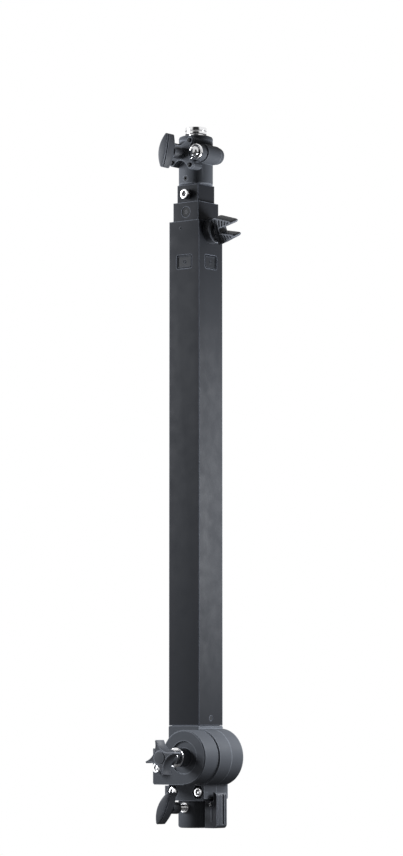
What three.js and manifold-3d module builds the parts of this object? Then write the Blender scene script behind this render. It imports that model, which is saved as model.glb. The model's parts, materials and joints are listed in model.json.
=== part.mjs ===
// A square telescopic post that hangs from a spigot: three nested tubes, a round socket at each end,
// a screw clamp on the outer tube, and a spring reel with a friction brake in the housing at the bottom.
// Millimetres, +Z up. The origin is the centre of the spigot's top face. The front is -Y.
import * as THREE from 'three';
import { mergeVertices } from 'three/addons/utils/BufferGeometryUtils.js';
import Module from 'manifold-3d';

const wasm = await Module();
wasm.setup();

// Clearances and counts that many pieces share
const seat_gap = 0.3;
const cut_overrun = 2;
const drum_sides = 64;
const disc_sides = 56;
const bore_sides = 48;
const barrel_sides = 44;
const spigot_sides = 36;
const round_sides = 32;
const button_sides = 28;
const rod_sides = 24;
const small_sides = 16;
const pin_sides = 12;
const key_sides = 6;
const smooth_steps = 8;
const default_steps = 6;
const edge_steps = 4;
const corner_steps = 3;
const coil_steps = 10;
const weld_distance = 1e-5;
const edge_chamfer = 1.2;

// Heights of the stack, from the foot up
const socket_barrel_height = 35;
const lower_block_height = 19;
const drum_radius = 36.7;
const drum_axis_to_tube = 40.6;
const outer_length = 656.9;
const middle_showing = 25;
const inner_showing = 23.6;
const top_barrel_height = 65.1;
const neck_showing = 3;
const collar_height = 9;

// The three tubes
const outer_side = 50;
const middle_side = 42.5;
const inner_side = 35;
const tube_wall = 2.5;
const tube_corner = 1;
const tube_inner_corner = 0.8;

// The spigot and the sockets that take one
const spigot_radius = 14;
const collar_radius = 14.5;
const neck_radius = 11;
const waist_radius = 11.2;
const waist_half_height = 8;
const bore_radius = 14.6;
const spigot_end_clearance = 1;
const top_barrel_radius = 22.4;
const top_bore_depth = 50;
const knob_axis_below_top = 26;
const bottom_barrel_radius = 22.5;
const bottom_bore_depth = 33;
const bottom_knob_height = 26;
const barrel_rounding = 3;

// The reel that takes up the spring tape
const reel_offset = 21.7;
const tape_width = 24;
const tape_thickness = 0.4;

// Levels
const foot = -(socket_barrel_height + lower_block_height + drum_radius + drum_axis_to_tube + outer_length
  + middle_showing + inner_showing + top_barrel_height + neck_showing + collar_height);
const block_bottom = foot + socket_barrel_height;
const block_top = block_bottom + lower_block_height;
const drum_level = block_top + drum_radius;
const outer_bottom = drum_level + drum_axis_to_tube;
const outer_top = outer_bottom + outer_length;
const middle_top = outer_top + middle_showing;
const inner_top = middle_top + inner_showing;
const top_barrel_bottom = inner_top + seat_gap;
const top_barrel_top = -(collar_height + neck_showing);
const top_knob_level = top_barrel_top - knob_axis_below_top;
const bottom_knob_level = foot + bottom_knob_height;

// Materials
function paint(colour, roughness, metalness) {
  return new THREE.MeshStandardMaterial({ color: colour, roughness, metalness });
}
const tube_paint = () => paint('#3c3f45', 0.5, 0.3);
const cast_paint = () => paint('#4b4c51', 0.62, 0.25);
const chrome = () => paint('#d9dadc', 0.12, 1);
const bright_steel = () => paint('#b4b6b9', 0.3, 1);
const black_steel = () => paint('#26272b', 0.45, 0.8);
const black_plastic = () => paint('#232429', 0.48, 0);
const grey_plastic = () => paint('#4a4d52', 0.6, 0);
const glide_plastic = () => paint('#44474d', 0.55, 0);
const spring_steel = () => paint('#8d9094', 0.35, 1);
const bronze = () => paint('#a8875a', 0.4, 1);
const lining = () => paint('#5b4a40', 0.9, 0);

// Geometry helpers
function outward(geometry) {
  geometry.deleteAttribute('normal');
  geometry.deleteAttribute('uv');
  const merged = mergeVertices(geometry, weld_distance);
  const place = merged.getAttribute('position');
  const kept = [];
  let volume = 0;
  const [a, b, c] = [new THREE.Vector3(), new THREE.Vector3(), new THREE.Vector3()];
  for (let i = 0; i < merged.index.count; i += 3) {
    const corners = [merged.index.getX(i), merged.index.getX(i + 1), merged.index.getX(i + 2)];
    if (new Set(corners).size < corners.length) continue;
    [a, b, c].forEach((v, k) => v.fromBufferAttribute(place, corners[k]));
    volume += a.dot(b.cross(c));
    kept.push(corners);
  }
  const indices = kept.flatMap(([p, q, r]) => (volume < 0 ? [p, r, q] : [p, q, r]));
  merged.setIndex(indices);
  return merged;
}

function solid(geometry) {
  const clean = outward(geometry);
  return new wasm.Manifold(new wasm.Mesh({
    numProp: 3,
    vertProperties: new Float32Array(clean.getAttribute('position').array),
    triVerts: new Uint32Array(clean.index.array),
  }));
}

function geometryOf(body) {
  const mesh = body.getMesh();
  const geometry = new THREE.BufferGeometry();
  const places = new Float32Array(mesh.vertProperties);
  geometry.setAttribute('position', new THREE.BufferAttribute(places, mesh.numProp));
  geometry.setIndex(new THREE.BufferAttribute(new Uint32Array(mesh.triVerts), 1));
  return geometry;
}

function joined(bodies) {
  return bodies.reduce((sum, body) => sum.add(body));
}

function cut(body, tools) {
  return tools.reduce((rest, tool) => rest.subtract(tool), body);
}

function piece(name, material, body) {
  const flat = geometryOf(body).toNonIndexed();
  flat.computeVertexNormals();
  const mesh = new THREE.Mesh(flat, material);
  mesh.name = name;
  return mesh;
}

// A prism of an outline: along Z the outline is (x, y), along Y it is (x, z), along X it is (y, z)
function extruded(shape, depth, curve_steps) {
  return new THREE.ExtrudeGeometry(shape, { depth, bevelEnabled: false, curveSegments: curve_steps });
}
function slabZ(shape, from, to, curve_steps = default_steps) {
  return solid(extruded(shape, to - from, curve_steps).translate(0, 0, from));
}
function slabY(shape, from, to, curve_steps = default_steps) {
  return solid(extruded(shape, to - from, curve_steps).rotateX(Math.PI / 2).translate(0, to, 0));
}
function slabX(shape, from, to, curve_steps = default_steps) {
  const turned = extruded(shape, to - from, curve_steps).rotateX(Math.PI / 2).rotateZ(Math.PI / 2);
  return solid(turned.translate(from, 0, 0));
}

// A turned solid: the profile is a list of (radius, distance along the axis)
function turned(profile, sides) {
  return new THREE.LatheGeometry(profile.map(([r, h]) => new THREE.Vector2(r, h)), sides);
}
function turnZ(profile, sides = round_sides) {
  return solid(turned(profile, sides).rotateX(Math.PI / 2));
}
function turnY(profile, sides = round_sides) {
  return solid(turned(profile, sides));
}
function turnX(profile, sides = round_sides) {
  return solid(turned(profile, sides).rotateZ(-Math.PI / 2));
}
function rod(radius, from, to) {
  return [[0, from], [radius, from], [radius, to], [0, to]];
}
function ring(inner, outer, from, to) {
  return [[inner, from], [outer, from], [outer, to], [inner, to], [inner, from]];
}

function roundedRect(width, height, corner, cx = 0, cy = 0) {
  const [x, y] = [cx - width / 2, cy - height / 2];
  const shape = new THREE.Shape();
  shape.moveTo(x + corner, y);
  shape.lineTo(x + width - corner, y);
  shape.absarc(x + width - corner, y + corner, corner, -Math.PI / 2, 0);
  shape.lineTo(x + width, y + height - corner);
  shape.absarc(x + width - corner, y + height - corner, corner, 0, Math.PI / 2);
  shape.lineTo(x + corner, y + height);
  shape.absarc(x + corner, y + height - corner, corner, Math.PI / 2, Math.PI);
  shape.lineTo(x, y + corner);
  shape.absarc(x + corner, y + corner, corner, Math.PI, 1.5 * Math.PI);
  return shape;
}

function outline(points) {
  return new THREE.Shape(points.map(([x, y]) => new THREE.Vector2(x, y)));
}

function box(x0, x1, y0, y1, z0, z1) {
  const body = new THREE.BoxGeometry(x1 - x0, y1 - y0, z1 - z0);
  return solid(body.translate((x0 + x1) / 2, (y0 + y1) / 2, (z0 + z1) / 2));
}

function squareTube(side, wall, from, to) {
  const outer = slabZ(roundedRect(side, side, tube_corner), from, to, edge_steps);
  const bore = side - 2 * wall;
  const inner = slabZ(roundedRect(bore, bore, tube_inner_corner), from - cut_overrun, to + cut_overrun,
    corner_steps);
  return outer.subtract(inner);
}

// A coil spring along +Y, wound from round wire
function coil(radius, wire_radius, turns, from, to) {
  const points = [];
  for (let i = 0; i <= turns * coil_steps; i += 1) {
    const angle = (i / coil_steps) * 2 * Math.PI;
    const along = from + wire_radius + (to - from - 2 * wire_radius) * (i / (turns * coil_steps));
    points.push(new THREE.Vector3(radius * Math.cos(angle), along, radius * Math.sin(angle)));
  }
  const section = new THREE.Shape();
  section.absarc(0, 0, wire_radius, 0, 2 * Math.PI);
  return solid(new THREE.ExtrudeGeometry(section, {
    steps: turns * coil_steps,
    curveSegments: corner_steps,
    extrudePath: new THREE.CatmullRomCurve3(points),
  }));
}

// Socket-head screw along +Y: the head's seat is at `seat`, the head stands out towards -Y
const m8_head_radius = 6.5;
const m8_head_height = 8;
const m8_radius = 4;
const m8_key_radius = 3.46;
const m8_key_depth = 4;
const m8_hole_radius = 4.3;
function socketHeadScrew(name, seat, length) {
  const head_face = seat - m8_head_height;
  const body = turnY([
    [0, seat + length], [m8_radius, seat + length], [m8_radius, seat], [m8_head_radius, seat],
    [m8_head_radius, head_face + edge_chamfer], [m8_head_radius - edge_chamfer, head_face], [0, head_face],
  ], small_sides);
  const key = turnY(rod(m8_key_radius, head_face - cut_overrun, head_face + m8_key_depth), key_sides);
  return piece(name, bright_steel(), cut(body, [key]));
}

// T-knob on a stud, along -Y from the stud's pad that presses on the spigot
const stud_radius = 4;
const stud_hole_radius = 4.3;
const pad_radius = 5.5;
const pad_hole_radius = 5.8;
const pad_length = 4;
const washer_radius = 7.5;
const washer_thickness = 1.5;
const top_thread_showing = 0.5;
const bottom_thread_showing = 15;
const hub_radius = 7.8;
const hub_end = -55;
const bar_half_length = 22.25;
const bar_half_width = 5.9;
const bar_tip_half_width = 1.2;
const bar_front = -69.5;
const bar_front_drop = 3.6;
const bar_back = -49;
const bar_tip_back = -50.5;
const bar_tip_rounding = 3;
function tBar() {
  const side = new THREE.Shape();
  side.moveTo(bar_back, -hub_radius);
  side.lineTo(bar_tip_back, -bar_half_length + bar_tip_rounding);
  side.quadraticCurveTo(bar_tip_back - bar_tip_rounding, -bar_half_length, bar_front + bar_front_drop,
    -bar_half_length + bar_tip_rounding);
  side.quadraticCurveTo(bar_front - bar_front_drop, 0, bar_front + bar_front_drop,
    bar_half_length - bar_tip_rounding);
  side.quadraticCurveTo(bar_tip_back - bar_tip_rounding, bar_half_length, bar_tip_back,
    bar_half_length - bar_tip_rounding);
  side.lineTo(bar_back, hub_radius);
  const front = new THREE.Shape();
  front.moveTo(-bar_tip_half_width, -bar_half_length);
  front.lineTo(bar_tip_half_width, -bar_half_length);
  front.quadraticCurveTo(2 * bar_half_width - bar_tip_half_width, 0, bar_tip_half_width, bar_half_length);
  front.lineTo(-bar_tip_half_width, bar_half_length);
  front.quadraticCurveTo(bar_tip_half_width - 2 * bar_half_width, 0, -bar_tip_half_width, -bar_half_length);
  const depth = slabX(side, -bar_half_width, bar_half_width, smooth_steps);
  return depth.intersect(slabY(front, bar_front - cut_overrun, bar_back + cut_overrun, smooth_steps));
}
function paddedStud(start, pad_back, pad_face, radius) {
  return turnY([
    [0, start], [stud_radius, start], [stud_radius, pad_back], [radius, pad_back], [radius, pad_face],
    [0, pad_face],
  ], small_sides);
}
function tKnob(prefix, pad_face, body_face, level, tilt, reach, thread_showing) {
  const group = new THREE.Group();
  const washer_back = body_face - seat_gap;
  const hub_start = washer_back - washer_thickness - thread_showing;
  const stud_end = hub_end - reach;
  const hub = turnY(rod(hub_radius, bar_back - reach - cut_overrun, hub_start), small_sides);
  const stud_bore = turnY(rod(stud_hole_radius, stud_end - seat_gap, hub_start + cut_overrun), small_sides);
  const bar = tBar().translate([0, -reach, 0]);
  const knob = piece(`${prefix}_t_knob`, black_plastic(), joined([bar, hub]).subtract(stud_bore));
  knob.rotation.y = tilt;
  const stud = paddedStud(stud_end, pad_face - pad_length, pad_face, pad_radius);
  const washer = turnY(ring(stud_hole_radius, washer_radius, washer_back - washer_thickness, washer_back));
  group.add(knob, piece(`${prefix}_t_screw`, bright_steel(), stud));
  group.add(piece(`${prefix}_t_washer`, chrome(), washer));
  group.position.z = level;
  return group;
}

// Star knob of the brake: four points joined by hollow arcs, from `front` to `back` along +Y, with a
// round cap in front and a hub behind
const lobe_tip_radius = 23.2;
const lobe_end_radius = 1.5;
const hollow_centre_radius = 31.5;
const lobe_count = 4;
const star_bevel = 0.8;
const star_cap_radius = 9;
const star_cap_rise = 2;
function starOutline() {
  const end_centre = lobe_tip_radius - lobe_end_radius;
  const pitch = (2 * Math.PI) / lobe_count;
  const half = pitch / 2;
  const along = hollow_centre_radius * Math.cos(half);
  const aside = hollow_centre_radius * Math.sin(half);
  const hollow_radius = Math.hypot(end_centre - along, aside) - lobe_end_radius;
  const lean = Math.atan2(aside, along - end_centre);
  const shape = new THREE.Shape();
  for (let i = 0; i < lobe_count; i += 1) {
    const mid = i * pitch;
    const next = mid + pitch;
    shape.absarc(end_centre * Math.cos(mid), end_centre * Math.sin(mid), lobe_end_radius,
      mid - lean, mid + lean);
    shape.absarc(hollow_centre_radius * Math.cos(mid + half), hollow_centre_radius * Math.sin(mid + half),
      hollow_radius, mid + lean - Math.PI, next - lean + Math.PI, true);
  }
  return shape;
}
function starKnob(name, front, back, hub_back, star_hub_radius, screw_radius, screw_end) {
  const star = new THREE.ExtrudeGeometry(starOutline(), {
    depth: back - front - 2 * star_bevel,
    bevelThickness: star_bevel,
    bevelSize: star_bevel,
    bevelOffset: -star_bevel,
    bevelSegments: 1,
    curveSegments: default_steps,
  }).rotateX(Math.PI / 2).translate(0, back - star_bevel, 0);
  const cap = turnY([
    [0, front - star_cap_rise], [star_cap_radius / 2, front - star_cap_rise * Math.sqrt(3) / 2],
    [star_cap_radius, front], [star_cap_radius, front + cut_overrun], [0, front + cut_overrun],
  ]);
  const hub = turnY(rod(star_hub_radius, back - cut_overrun, hub_back));
  const bore = turnY(rod(screw_radius + seat_gap, screw_end - seat_gap, hub_back + cut_overrun), small_sides);
  return piece(name, black_plastic(), joined([solid(star), cap, hub]).subtract(bore));
}

// Forked wing knob of the clamp: two blades above and below the axis, from `back` out towards -Y
const wing_length = 29;
const wing_root_half = 18;
const wing_corner = 3;
const wing_tip_half = 9;
const wing_tip_reach = 3;
const wing_tip_half_thickness = 2.2;
const wing_notch_depth = 22;
const wing_notch_half = 3;
const wing_half_width = 8.5;
const wing_grip = 5;
function wingKnob(name, back, hub_back, wing_hub_radius, screw_radius) {
  const tip = back - wing_length;
  const notch = tip + wing_notch_depth;
  const shoulder = tip + wing_tip_reach;
  const side = new THREE.Shape();
  side.moveTo(back, -wing_root_half + wing_corner);
  side.lineTo(back, wing_root_half - wing_corner);
  side.quadraticCurveTo(back, wing_root_half, back - wing_corner, wing_root_half);
  side.lineTo(shoulder, wing_tip_half + wing_tip_half_thickness);
  side.quadraticCurveTo(tip, wing_tip_half, shoulder, wing_tip_half - wing_tip_half_thickness);
  side.lineTo(notch, wing_notch_half);
  side.lineTo(notch, -wing_notch_half);
  side.lineTo(shoulder, wing_tip_half_thickness - wing_tip_half);
  side.quadraticCurveTo(tip, -wing_tip_half, shoulder, -wing_tip_half - wing_tip_half_thickness);
  side.lineTo(back - wing_corner, -wing_root_half);
  side.quadraticCurveTo(back, -wing_root_half, back, wing_corner - wing_root_half);
  const blades = slabX(side, -wing_half_width, wing_half_width);
  const hub = turnY(rod(wing_hub_radius, back - cut_overrun, hub_back), rod_sides);
  const bore = turnY(rod(screw_radius + seat_gap, back - wing_grip - seat_gap, hub_back + cut_overrun),
    small_sides);
  return piece(name, black_plastic(), joined([blades, hub]).subtract(bore));
}

// Spigot
function spigot() {
  const end = top_barrel_top - top_bore_depth + spigot_end_clearance;
  const waist_top = top_knob_level + waist_half_height;
  const waist_bottom = top_knob_level - waist_half_height;
  const slope = spigot_radius - waist_radius;
  const neck_bottom = top_barrel_top - seat_gap;
  return piece('spigot', chrome(), turnZ([
    [0, end], [spigot_radius - edge_chamfer, end], [spigot_radius, end + edge_chamfer],
    [spigot_radius, waist_bottom - slope], [waist_radius, waist_bottom],
    [waist_radius, waist_top - slope], [spigot_radius, waist_top], [spigot_radius, neck_bottom - edge_chamfer],
    [neck_radius, neck_bottom], [neck_radius, -collar_height], [collar_radius, -collar_height],
    [collar_radius, -edge_chamfer], [collar_radius - edge_chamfer, 0], [0, 0],
  ], spigot_sides));
}

// Top socket: barrel, front boss, cross-bolt housing, and the plug that goes into the inner tube
const ear_radius = 5;
const ear_spread = Math.PI / 3;
const boss_waist = 10;
const boss_side_waist = 13;
const plate_front = -32;
const plate_thickness = 4;
const lock_offset = 24;
const lock_ring_radius = 10.7;
const lock_outer_radius = 12.4;
const lock_shoulder = -20;
const lock_front = -29;
const lock_rear = 17.5;
const lock_rear_step = 1.2;
const lock_cap_length = 9;
const lock_rounding = 3;
const bolt_radius = 7.4;
const bolt_front = -28.4;
const bolt_rear = 5;
const bolt_spring_bore = 4.7;
const bolt_spring_bore_start = -14;
const bolt_spring_wire = 0.6;
const bolt_spring_turns = 6;
const button_radius = 6.9;
const button_front = -38.5;
const button_dome = 3;
const button_travel = 6;
const lock_ring_hole = 7.3;
const lock_wall = 2;
const key_reach = 12.75;
const key_half_height = 5.5;
const key_width = 3;
const plug_height = 28;
const plug_corner = 1;
const plug_screw_below_top = 13;
const plug_screw_length = 12;
const groove_below_top = 6;
const groove_depth = 0.7;
const groove_height = 1.2;
const plate_screw_x = 14.2;
const plate_screw_z = 16.2;
const left_screw_z = 11;
const plate_screw_head = 2.75;
const plate_screw_head_height = 1.8;
const plate_screw_radius = 1.5;
const plate_screw_length = 12;
const grub_radius = 3.2;
const grub_above_tube = 7.8;
const grub_length = 6;
const grub_key_radius = 1.7;
const grub_key_depth = 2.5;
const inner_bore = inner_side - 2 * tube_wall;

// The two screws next to the lock sit further from the axis than the two on the left
function plateScrewPlace(sx, sz) {
  return [sx * plate_screw_x, sz * (sx < 0 ? left_screw_z : plate_screw_z)];
}
function plateScrewPlaces() {
  return [[-1, 1], [1, 1], [-1, -1], [1, -1]].map(([sx, sz]) => plateScrewPlace(sx, sz));
}
// The front boss and its plate: an ear round each screw, and hollow curves from ear to ear
function earedOutline() {
  const shape = new THREE.Shape();
  const ears = [[1, 1], [-1, 1], [-1, -1], [1, -1]];
  ears.forEach(([sx, sz], i) => {
    const [x, z] = plateScrewPlace(sx, sz);
    const outwards = Math.atan2(sz, sx);
    shape.absarc(x, top_knob_level + z, ear_radius, outwards - ear_spread, outwards + ear_spread);
    const [nx, nz] = ears[(i + 1) % ears.length];
    const next = Math.atan2(nz, nx) - ear_spread;
    const [next_x, next_z] = plateScrewPlace(nx, nz);
    const tx = next_x + ear_radius * Math.cos(next);
    const tz = next_z + ear_radius * Math.sin(next);
    const across = nx !== sx;
    const control_x = across ? 0 : nx * (2 * boss_side_waist - Math.abs(tx));
    const control_z = across ? nz * (2 * boss_waist - Math.abs(tz)) : 0;
    shape.quadraticCurveTo(control_x, top_knob_level + control_z, tx, top_knob_level + tz);
  });
  return shape;
}
function topSocket() {
  const groove_top = top_barrel_top - groove_below_top;
  const rounded = barrel_rounding * (1 - Math.SQRT1_2);
  const barrel = turnZ([
    [0, top_barrel_bottom], [top_barrel_radius - edge_chamfer, top_barrel_bottom],
    [top_barrel_radius, top_barrel_bottom + edge_chamfer], [top_barrel_radius, groove_top - groove_height],
    [top_barrel_radius - groove_depth, groove_top - groove_height],
    [top_barrel_radius - groove_depth, groove_top],
    [top_barrel_radius, groove_top], [top_barrel_radius, top_barrel_top - barrel_rounding],
    [top_barrel_radius - rounded, top_barrel_top - rounded],
    [top_barrel_radius - barrel_rounding, top_barrel_top], [0, top_barrel_top],
  ], barrel_sides);
  const boss_front = plate_front + plate_thickness + seat_gap;
  const boss = slabY(earedOutline(), boss_front, 0);
  const cap_radius = lock_outer_radius - lock_rear_step;
  const corner = lock_rounding * (1 - Math.SQRT1_2);
  const lock = turnY([
    [0, lock_front], [lock_ring_radius, lock_front], [lock_ring_radius, lock_shoulder],
    [lock_outer_radius, lock_shoulder + edge_chamfer], [lock_outer_radius, lock_rear - lock_cap_length],
    [cap_radius, lock_rear - lock_cap_length], [cap_radius, lock_rear - lock_rounding],
    [cap_radius - corner, lock_rear - corner], [cap_radius - lock_rounding, lock_rear], [0, lock_rear],
  ]).translate([lock_offset, 0, top_knob_level]);
  const web_half = lock_outer_radius - edge_chamfer;
  const web = box(0, lock_offset, -top_barrel_radius, 0, top_knob_level - web_half, top_knob_level + web_half);
  const plug_side = inner_bore - 2 * seat_gap;
  const plug_bottom = inner_top - plug_height;
  const plug = slabZ(roundedRect(plug_side, plug_side, plug_corner), plug_bottom,
    top_barrel_bottom + cut_overrun, corner_steps);
  const bore = turnZ(rod(bore_radius, top_barrel_top - top_bore_depth, top_barrel_top + cut_overrun),
    bore_sides);
  const stud_hole = turnY(rod(stud_hole_radius, boss_front - cut_overrun, 0), small_sides);
  const pad_hole = turnY(rod(pad_hole_radius, -bore_radius - pad_length - cut_overrun, 0), small_sides);
  const bolt_bore = turnY(rod(bolt_radius + seat_gap, lock_front - cut_overrun, lock_rear - lock_wall));
  const key_slot = box(0, lock_offset, -seat_gap, key_width + button_travel + seat_gap,
    top_knob_level - key_half_height - seat_gap, top_knob_level + key_half_height + seat_gap);
  const plug_hole = turnY(rod(m8_hole_radius, -inner_side, 0), small_sides);
  const grub_hole = turnY(rod(grub_radius + seat_gap, -top_barrel_radius - cut_overrun,
    -top_barrel_radius + grub_length + 2 * seat_gap), small_sides);
  const screw_holes = plateScrewPlaces().map(([x, z]) => turnY(
    rod(plate_screw_radius + seat_gap, boss_front - cut_overrun, plate_front + plate_screw_length + seat_gap),
    pin_sides).translate([x, 0, top_knob_level + z]));
  return piece('top_socket', cast_paint(), cut(joined([barrel, boss, web, lock, plug]), [
    bore,
    stud_hole.translate([0, 0, top_knob_level]),
    pad_hole.translate([0, 0, top_knob_level]),
    bolt_bore.translate([lock_offset, 0, top_knob_level]),
    key_slot,
    plug_hole.translate([0, 0, inner_top - plug_screw_below_top]),
    grub_hole.translate([0, 0, inner_top + grub_above_tube]),
    ...screw_holes,
  ]));
}
function topPlate() {
  const plate_back = plate_front + plate_thickness;
  const plate = slabY(earedOutline(), plate_front, plate_back);
  const holes = plateScrewPlaces().map(([x, z]) => turnY(
    rod(plate_screw_radius + seat_gap, plate_front - cut_overrun, plate_back + cut_overrun),
    pin_sides).translate([x, 0, top_knob_level + z]));
  const [cut_from, cut_to] = [plate_front - cut_overrun, plate_back + cut_overrun];
  const stud_hole = turnY(rod(stud_hole_radius, cut_from, cut_to), small_sides);
  const lock_notch = turnY(rod(lock_ring_radius + seat_gap, cut_from, cut_to));
  return piece('top_plate', cast_paint(), cut(plate, [
    ...holes,
    stud_hole.translate([0, 0, top_knob_level]),
    lock_notch.translate([lock_offset, 0, top_knob_level]),
  ]));
}
function plateScrew(name, x, z) {
  const seat = plate_front - seat_gap;
  const face = seat - plate_screw_head_height;
  const screw = piece(name, black_steel(), turnY([
    [0, plate_front + plate_screw_length], [plate_screw_radius, plate_front + plate_screw_length],
    [plate_screw_radius, seat], [plate_screw_head, seat],
    [plate_screw_head, face + plate_screw_head_height / 2], [plate_screw_head / 2, face], [0, face],
  ], small_sides));
  screw.position.set(x, 0, z);
  return screw;
}
function crossBoltLock() {
  const group = new THREE.Group();
  const ring_back = lock_front - seat_gap;
  const lock_ring = turnY(ring(lock_ring_hole, lock_ring_radius, plate_front, ring_back));
  const button_back = bolt_front - seat_gap;
  const button = turnY([
    [0, button_front], [button_radius / 2, button_front + button_dome / 4],
    [button_radius, button_front + button_dome], [button_radius, button_back], [0, button_back],
  ], button_sides);
  const key = box(key_reach - lock_offset, 0, 0, key_width, -key_half_height, key_half_height);
  const bolt = cut(joined([turnY(rod(bolt_radius, bolt_front, bolt_rear), button_sides), key]), [
    turnY(rod(bolt_spring_bore, bolt_spring_bore_start, bolt_rear + cut_overrun), small_sides),
  ]);
  const spring = coil(bolt_spring_bore - bolt_spring_wire - seat_gap, bolt_spring_wire, bolt_spring_turns,
    bolt_spring_bore_start + seat_gap, lock_rear - lock_wall - seat_gap);
  group.add(piece('lock_ring', chrome(), lock_ring), piece('lock_button', bright_steel(), button));
  group.add(piece('lock_bolt', bright_steel(), bolt), piece('lock_spring', spring_steel(), spring));
  group.position.set(lock_offset, 0, top_knob_level);
  return group;
}
function grubScrew() {
  const front = -top_barrel_radius + seat_gap;
  const body = turnY(rod(grub_radius, front, front + grub_length), small_sides);
  const key = turnY(rod(grub_key_radius, front - cut_overrun, front + grub_key_depth), key_sides);
  const screw = piece('socket_grub_screw', black_steel(), body.subtract(key));
  screw.position.z = inner_top + grub_above_tube;
  return screw;
}

// Inner tube, its slide foot, and the clip that holds the end of the spring tape
const housing_plug_height = 18;
const tube_end_clearance = 2;
const foot_height = 10;
const foot_plug_height = 8;
const foot_hole = 26;
const clip_half_thickness = 4;
const clip_height = 10;
const tape_slot = 1;
const middle_foot_bottom = outer_bottom + housing_plug_height + tube_end_clearance;
const middle_bottom = middle_foot_bottom + foot_height + seat_gap;
const middle_bore = middle_side - 2 * tube_wall;
const inner_foot_bottom = middle_bottom + foot_plug_height + tube_end_clearance;
const inner_bottom = inner_foot_bottom + foot_height + seat_gap;
const outer_bore = outer_side - 2 * tube_wall;

function innerTube() {
  const hole = turnY(rod(m8_hole_radius, -inner_side, 0), small_sides);
  return piece('inner_tube', tube_paint(), cut(squareTube(inner_side, tube_wall, inner_bottom, inner_top), [
    hole.translate([0, 0, inner_top - plug_screw_below_top]),
  ]));
}
function slideFoot(name, guide_bore, tube_bore, from, hole_side) {
  const side = guide_bore - 2 * seat_gap;
  const plug_side = tube_bore - 2 * seat_gap;
  const to = from + foot_height;
  const base = slabZ(roundedRect(side, side, tube_inner_corner), from, to, corner_steps);
  const plug = slabZ(roundedRect(plug_side, plug_side, plug_corner), to - cut_overrun, to + foot_plug_height,
    corner_steps);
  const hole = box(-hole_side / 2, hole_side / 2, -hole_side / 2, hole_side / 2, from - cut_overrun,
    to + foot_plug_height + cut_overrun);
  return piece(name, grey_plastic(), joined([base, plug]).subtract(hole));
}
function tapeClip() {
  const top = inner_top - plug_height - seat_gap;
  const half_width = tape_width / 2;
  const block = box(-clip_half_thickness, clip_half_thickness, -half_width, half_width, top - clip_height, top);
  const slot = box(-tape_slot / 2, tape_slot / 2, -half_width - cut_overrun, half_width + cut_overrun,
    top - clip_height - cut_overrun, top - clip_height / 2);
  return piece('tape_clip', bright_steel(), block.subtract(slot));
}
function tapeRun(name, from, to) {
  const [half_thickness, half_width] = [tape_thickness / 2, tape_width / 2];
  return piece(name, spring_steel(), box(-half_thickness, half_thickness, -half_width, half_width, from, to));
}

// Middle tube with the guide sleeve at its top, held by a screw in a round window
const guide_top_drop = 3;
const guide_height = 26;
const guide_window_radius = 7;
const guide_window_below_top = 13;
const guide_button_recess = 0.6;
const guide_screw_radius = 3.4;
const guide_screw_height = 1.2;
function middleTube() {
  const window_cut = turnY(rod(guide_window_radius, -middle_side, 0), button_sides);
  return piece('middle_tube', tube_paint(), cut(squareTube(middle_side, tube_wall, middle_bottom, middle_top), [
    window_cut.translate([0, 0, middle_top - guide_window_below_top]),
  ]));
}
function middleGuide() {
  const outer = middle_bore - 2 * seat_gap;
  const inner = inner_side + 2 * seat_gap;
  const top = middle_top - guide_top_drop;
  const bottom = top - guide_height;
  const sleeve = slabZ(roundedRect(outer, outer, tube_inner_corner), bottom, top, corner_steps)
    .subtract(slabZ(roundedRect(inner, inner, tube_corner), bottom - cut_overrun, top + cut_overrun,
      edge_steps));
  const face = -middle_side / 2 + guide_button_recess;
  const button = turnY(rod(guide_window_radius - seat_gap, face, -(inner + outer) / 4), button_sides);
  const recess = turnY(rod(guide_screw_radius + seat_gap, face - cut_overrun,
    face + guide_screw_height + seat_gap), small_sides);
  const level = middle_top - guide_window_below_top;
  return piece('middle_guide', grey_plastic(), cut(joined([sleeve, button.translate([0, 0, level])]), [
    recess.translate([0, 0, level]),
  ]));
}
function guideScrew() {
  const face = -middle_side / 2 + guide_button_recess;
  const slot_half = guide_screw_height / 4;
  const head = turnY(rod(guide_screw_radius, face, face + guide_screw_height), small_sides);
  const slot = box(-guide_screw_radius, guide_screw_radius, face - cut_overrun, face + guide_screw_height / 2,
    -slot_half, slot_half);
  const screw = piece('guide_screw', black_steel(), head.subtract(slot));
  screw.position.z = middle_top - guide_window_below_top;
  return screw;
}

// Outer tube with four glides in windows, and the small rivets
const glide_below_top = 54;
const glide_width = 25;
const glide_height = 18;
const glide_corner = 2.5;
const glide_recess = 0.5;
const glide_flange_rim = 3;
const glide_dot_radius = 1.6;
const glide_dot_depth = 0.8;
const rivet_radius = 1.5;
const rivet_head = 0.6;
const rivet_shank = 1;
const rivet_x = -6;
const rivet_below_top = 9.4;
const tube_screw_above = 9.4;
const tube_screw_radius = 3;
const tube_screw_length = 9;
const clamp_below_top = 13;
const clamp_pad_radius = 5;
const quarter_turns = [['front', 0], ['right', Math.PI / 2], ['rear', Math.PI], ['left', -Math.PI / 2]];

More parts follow.
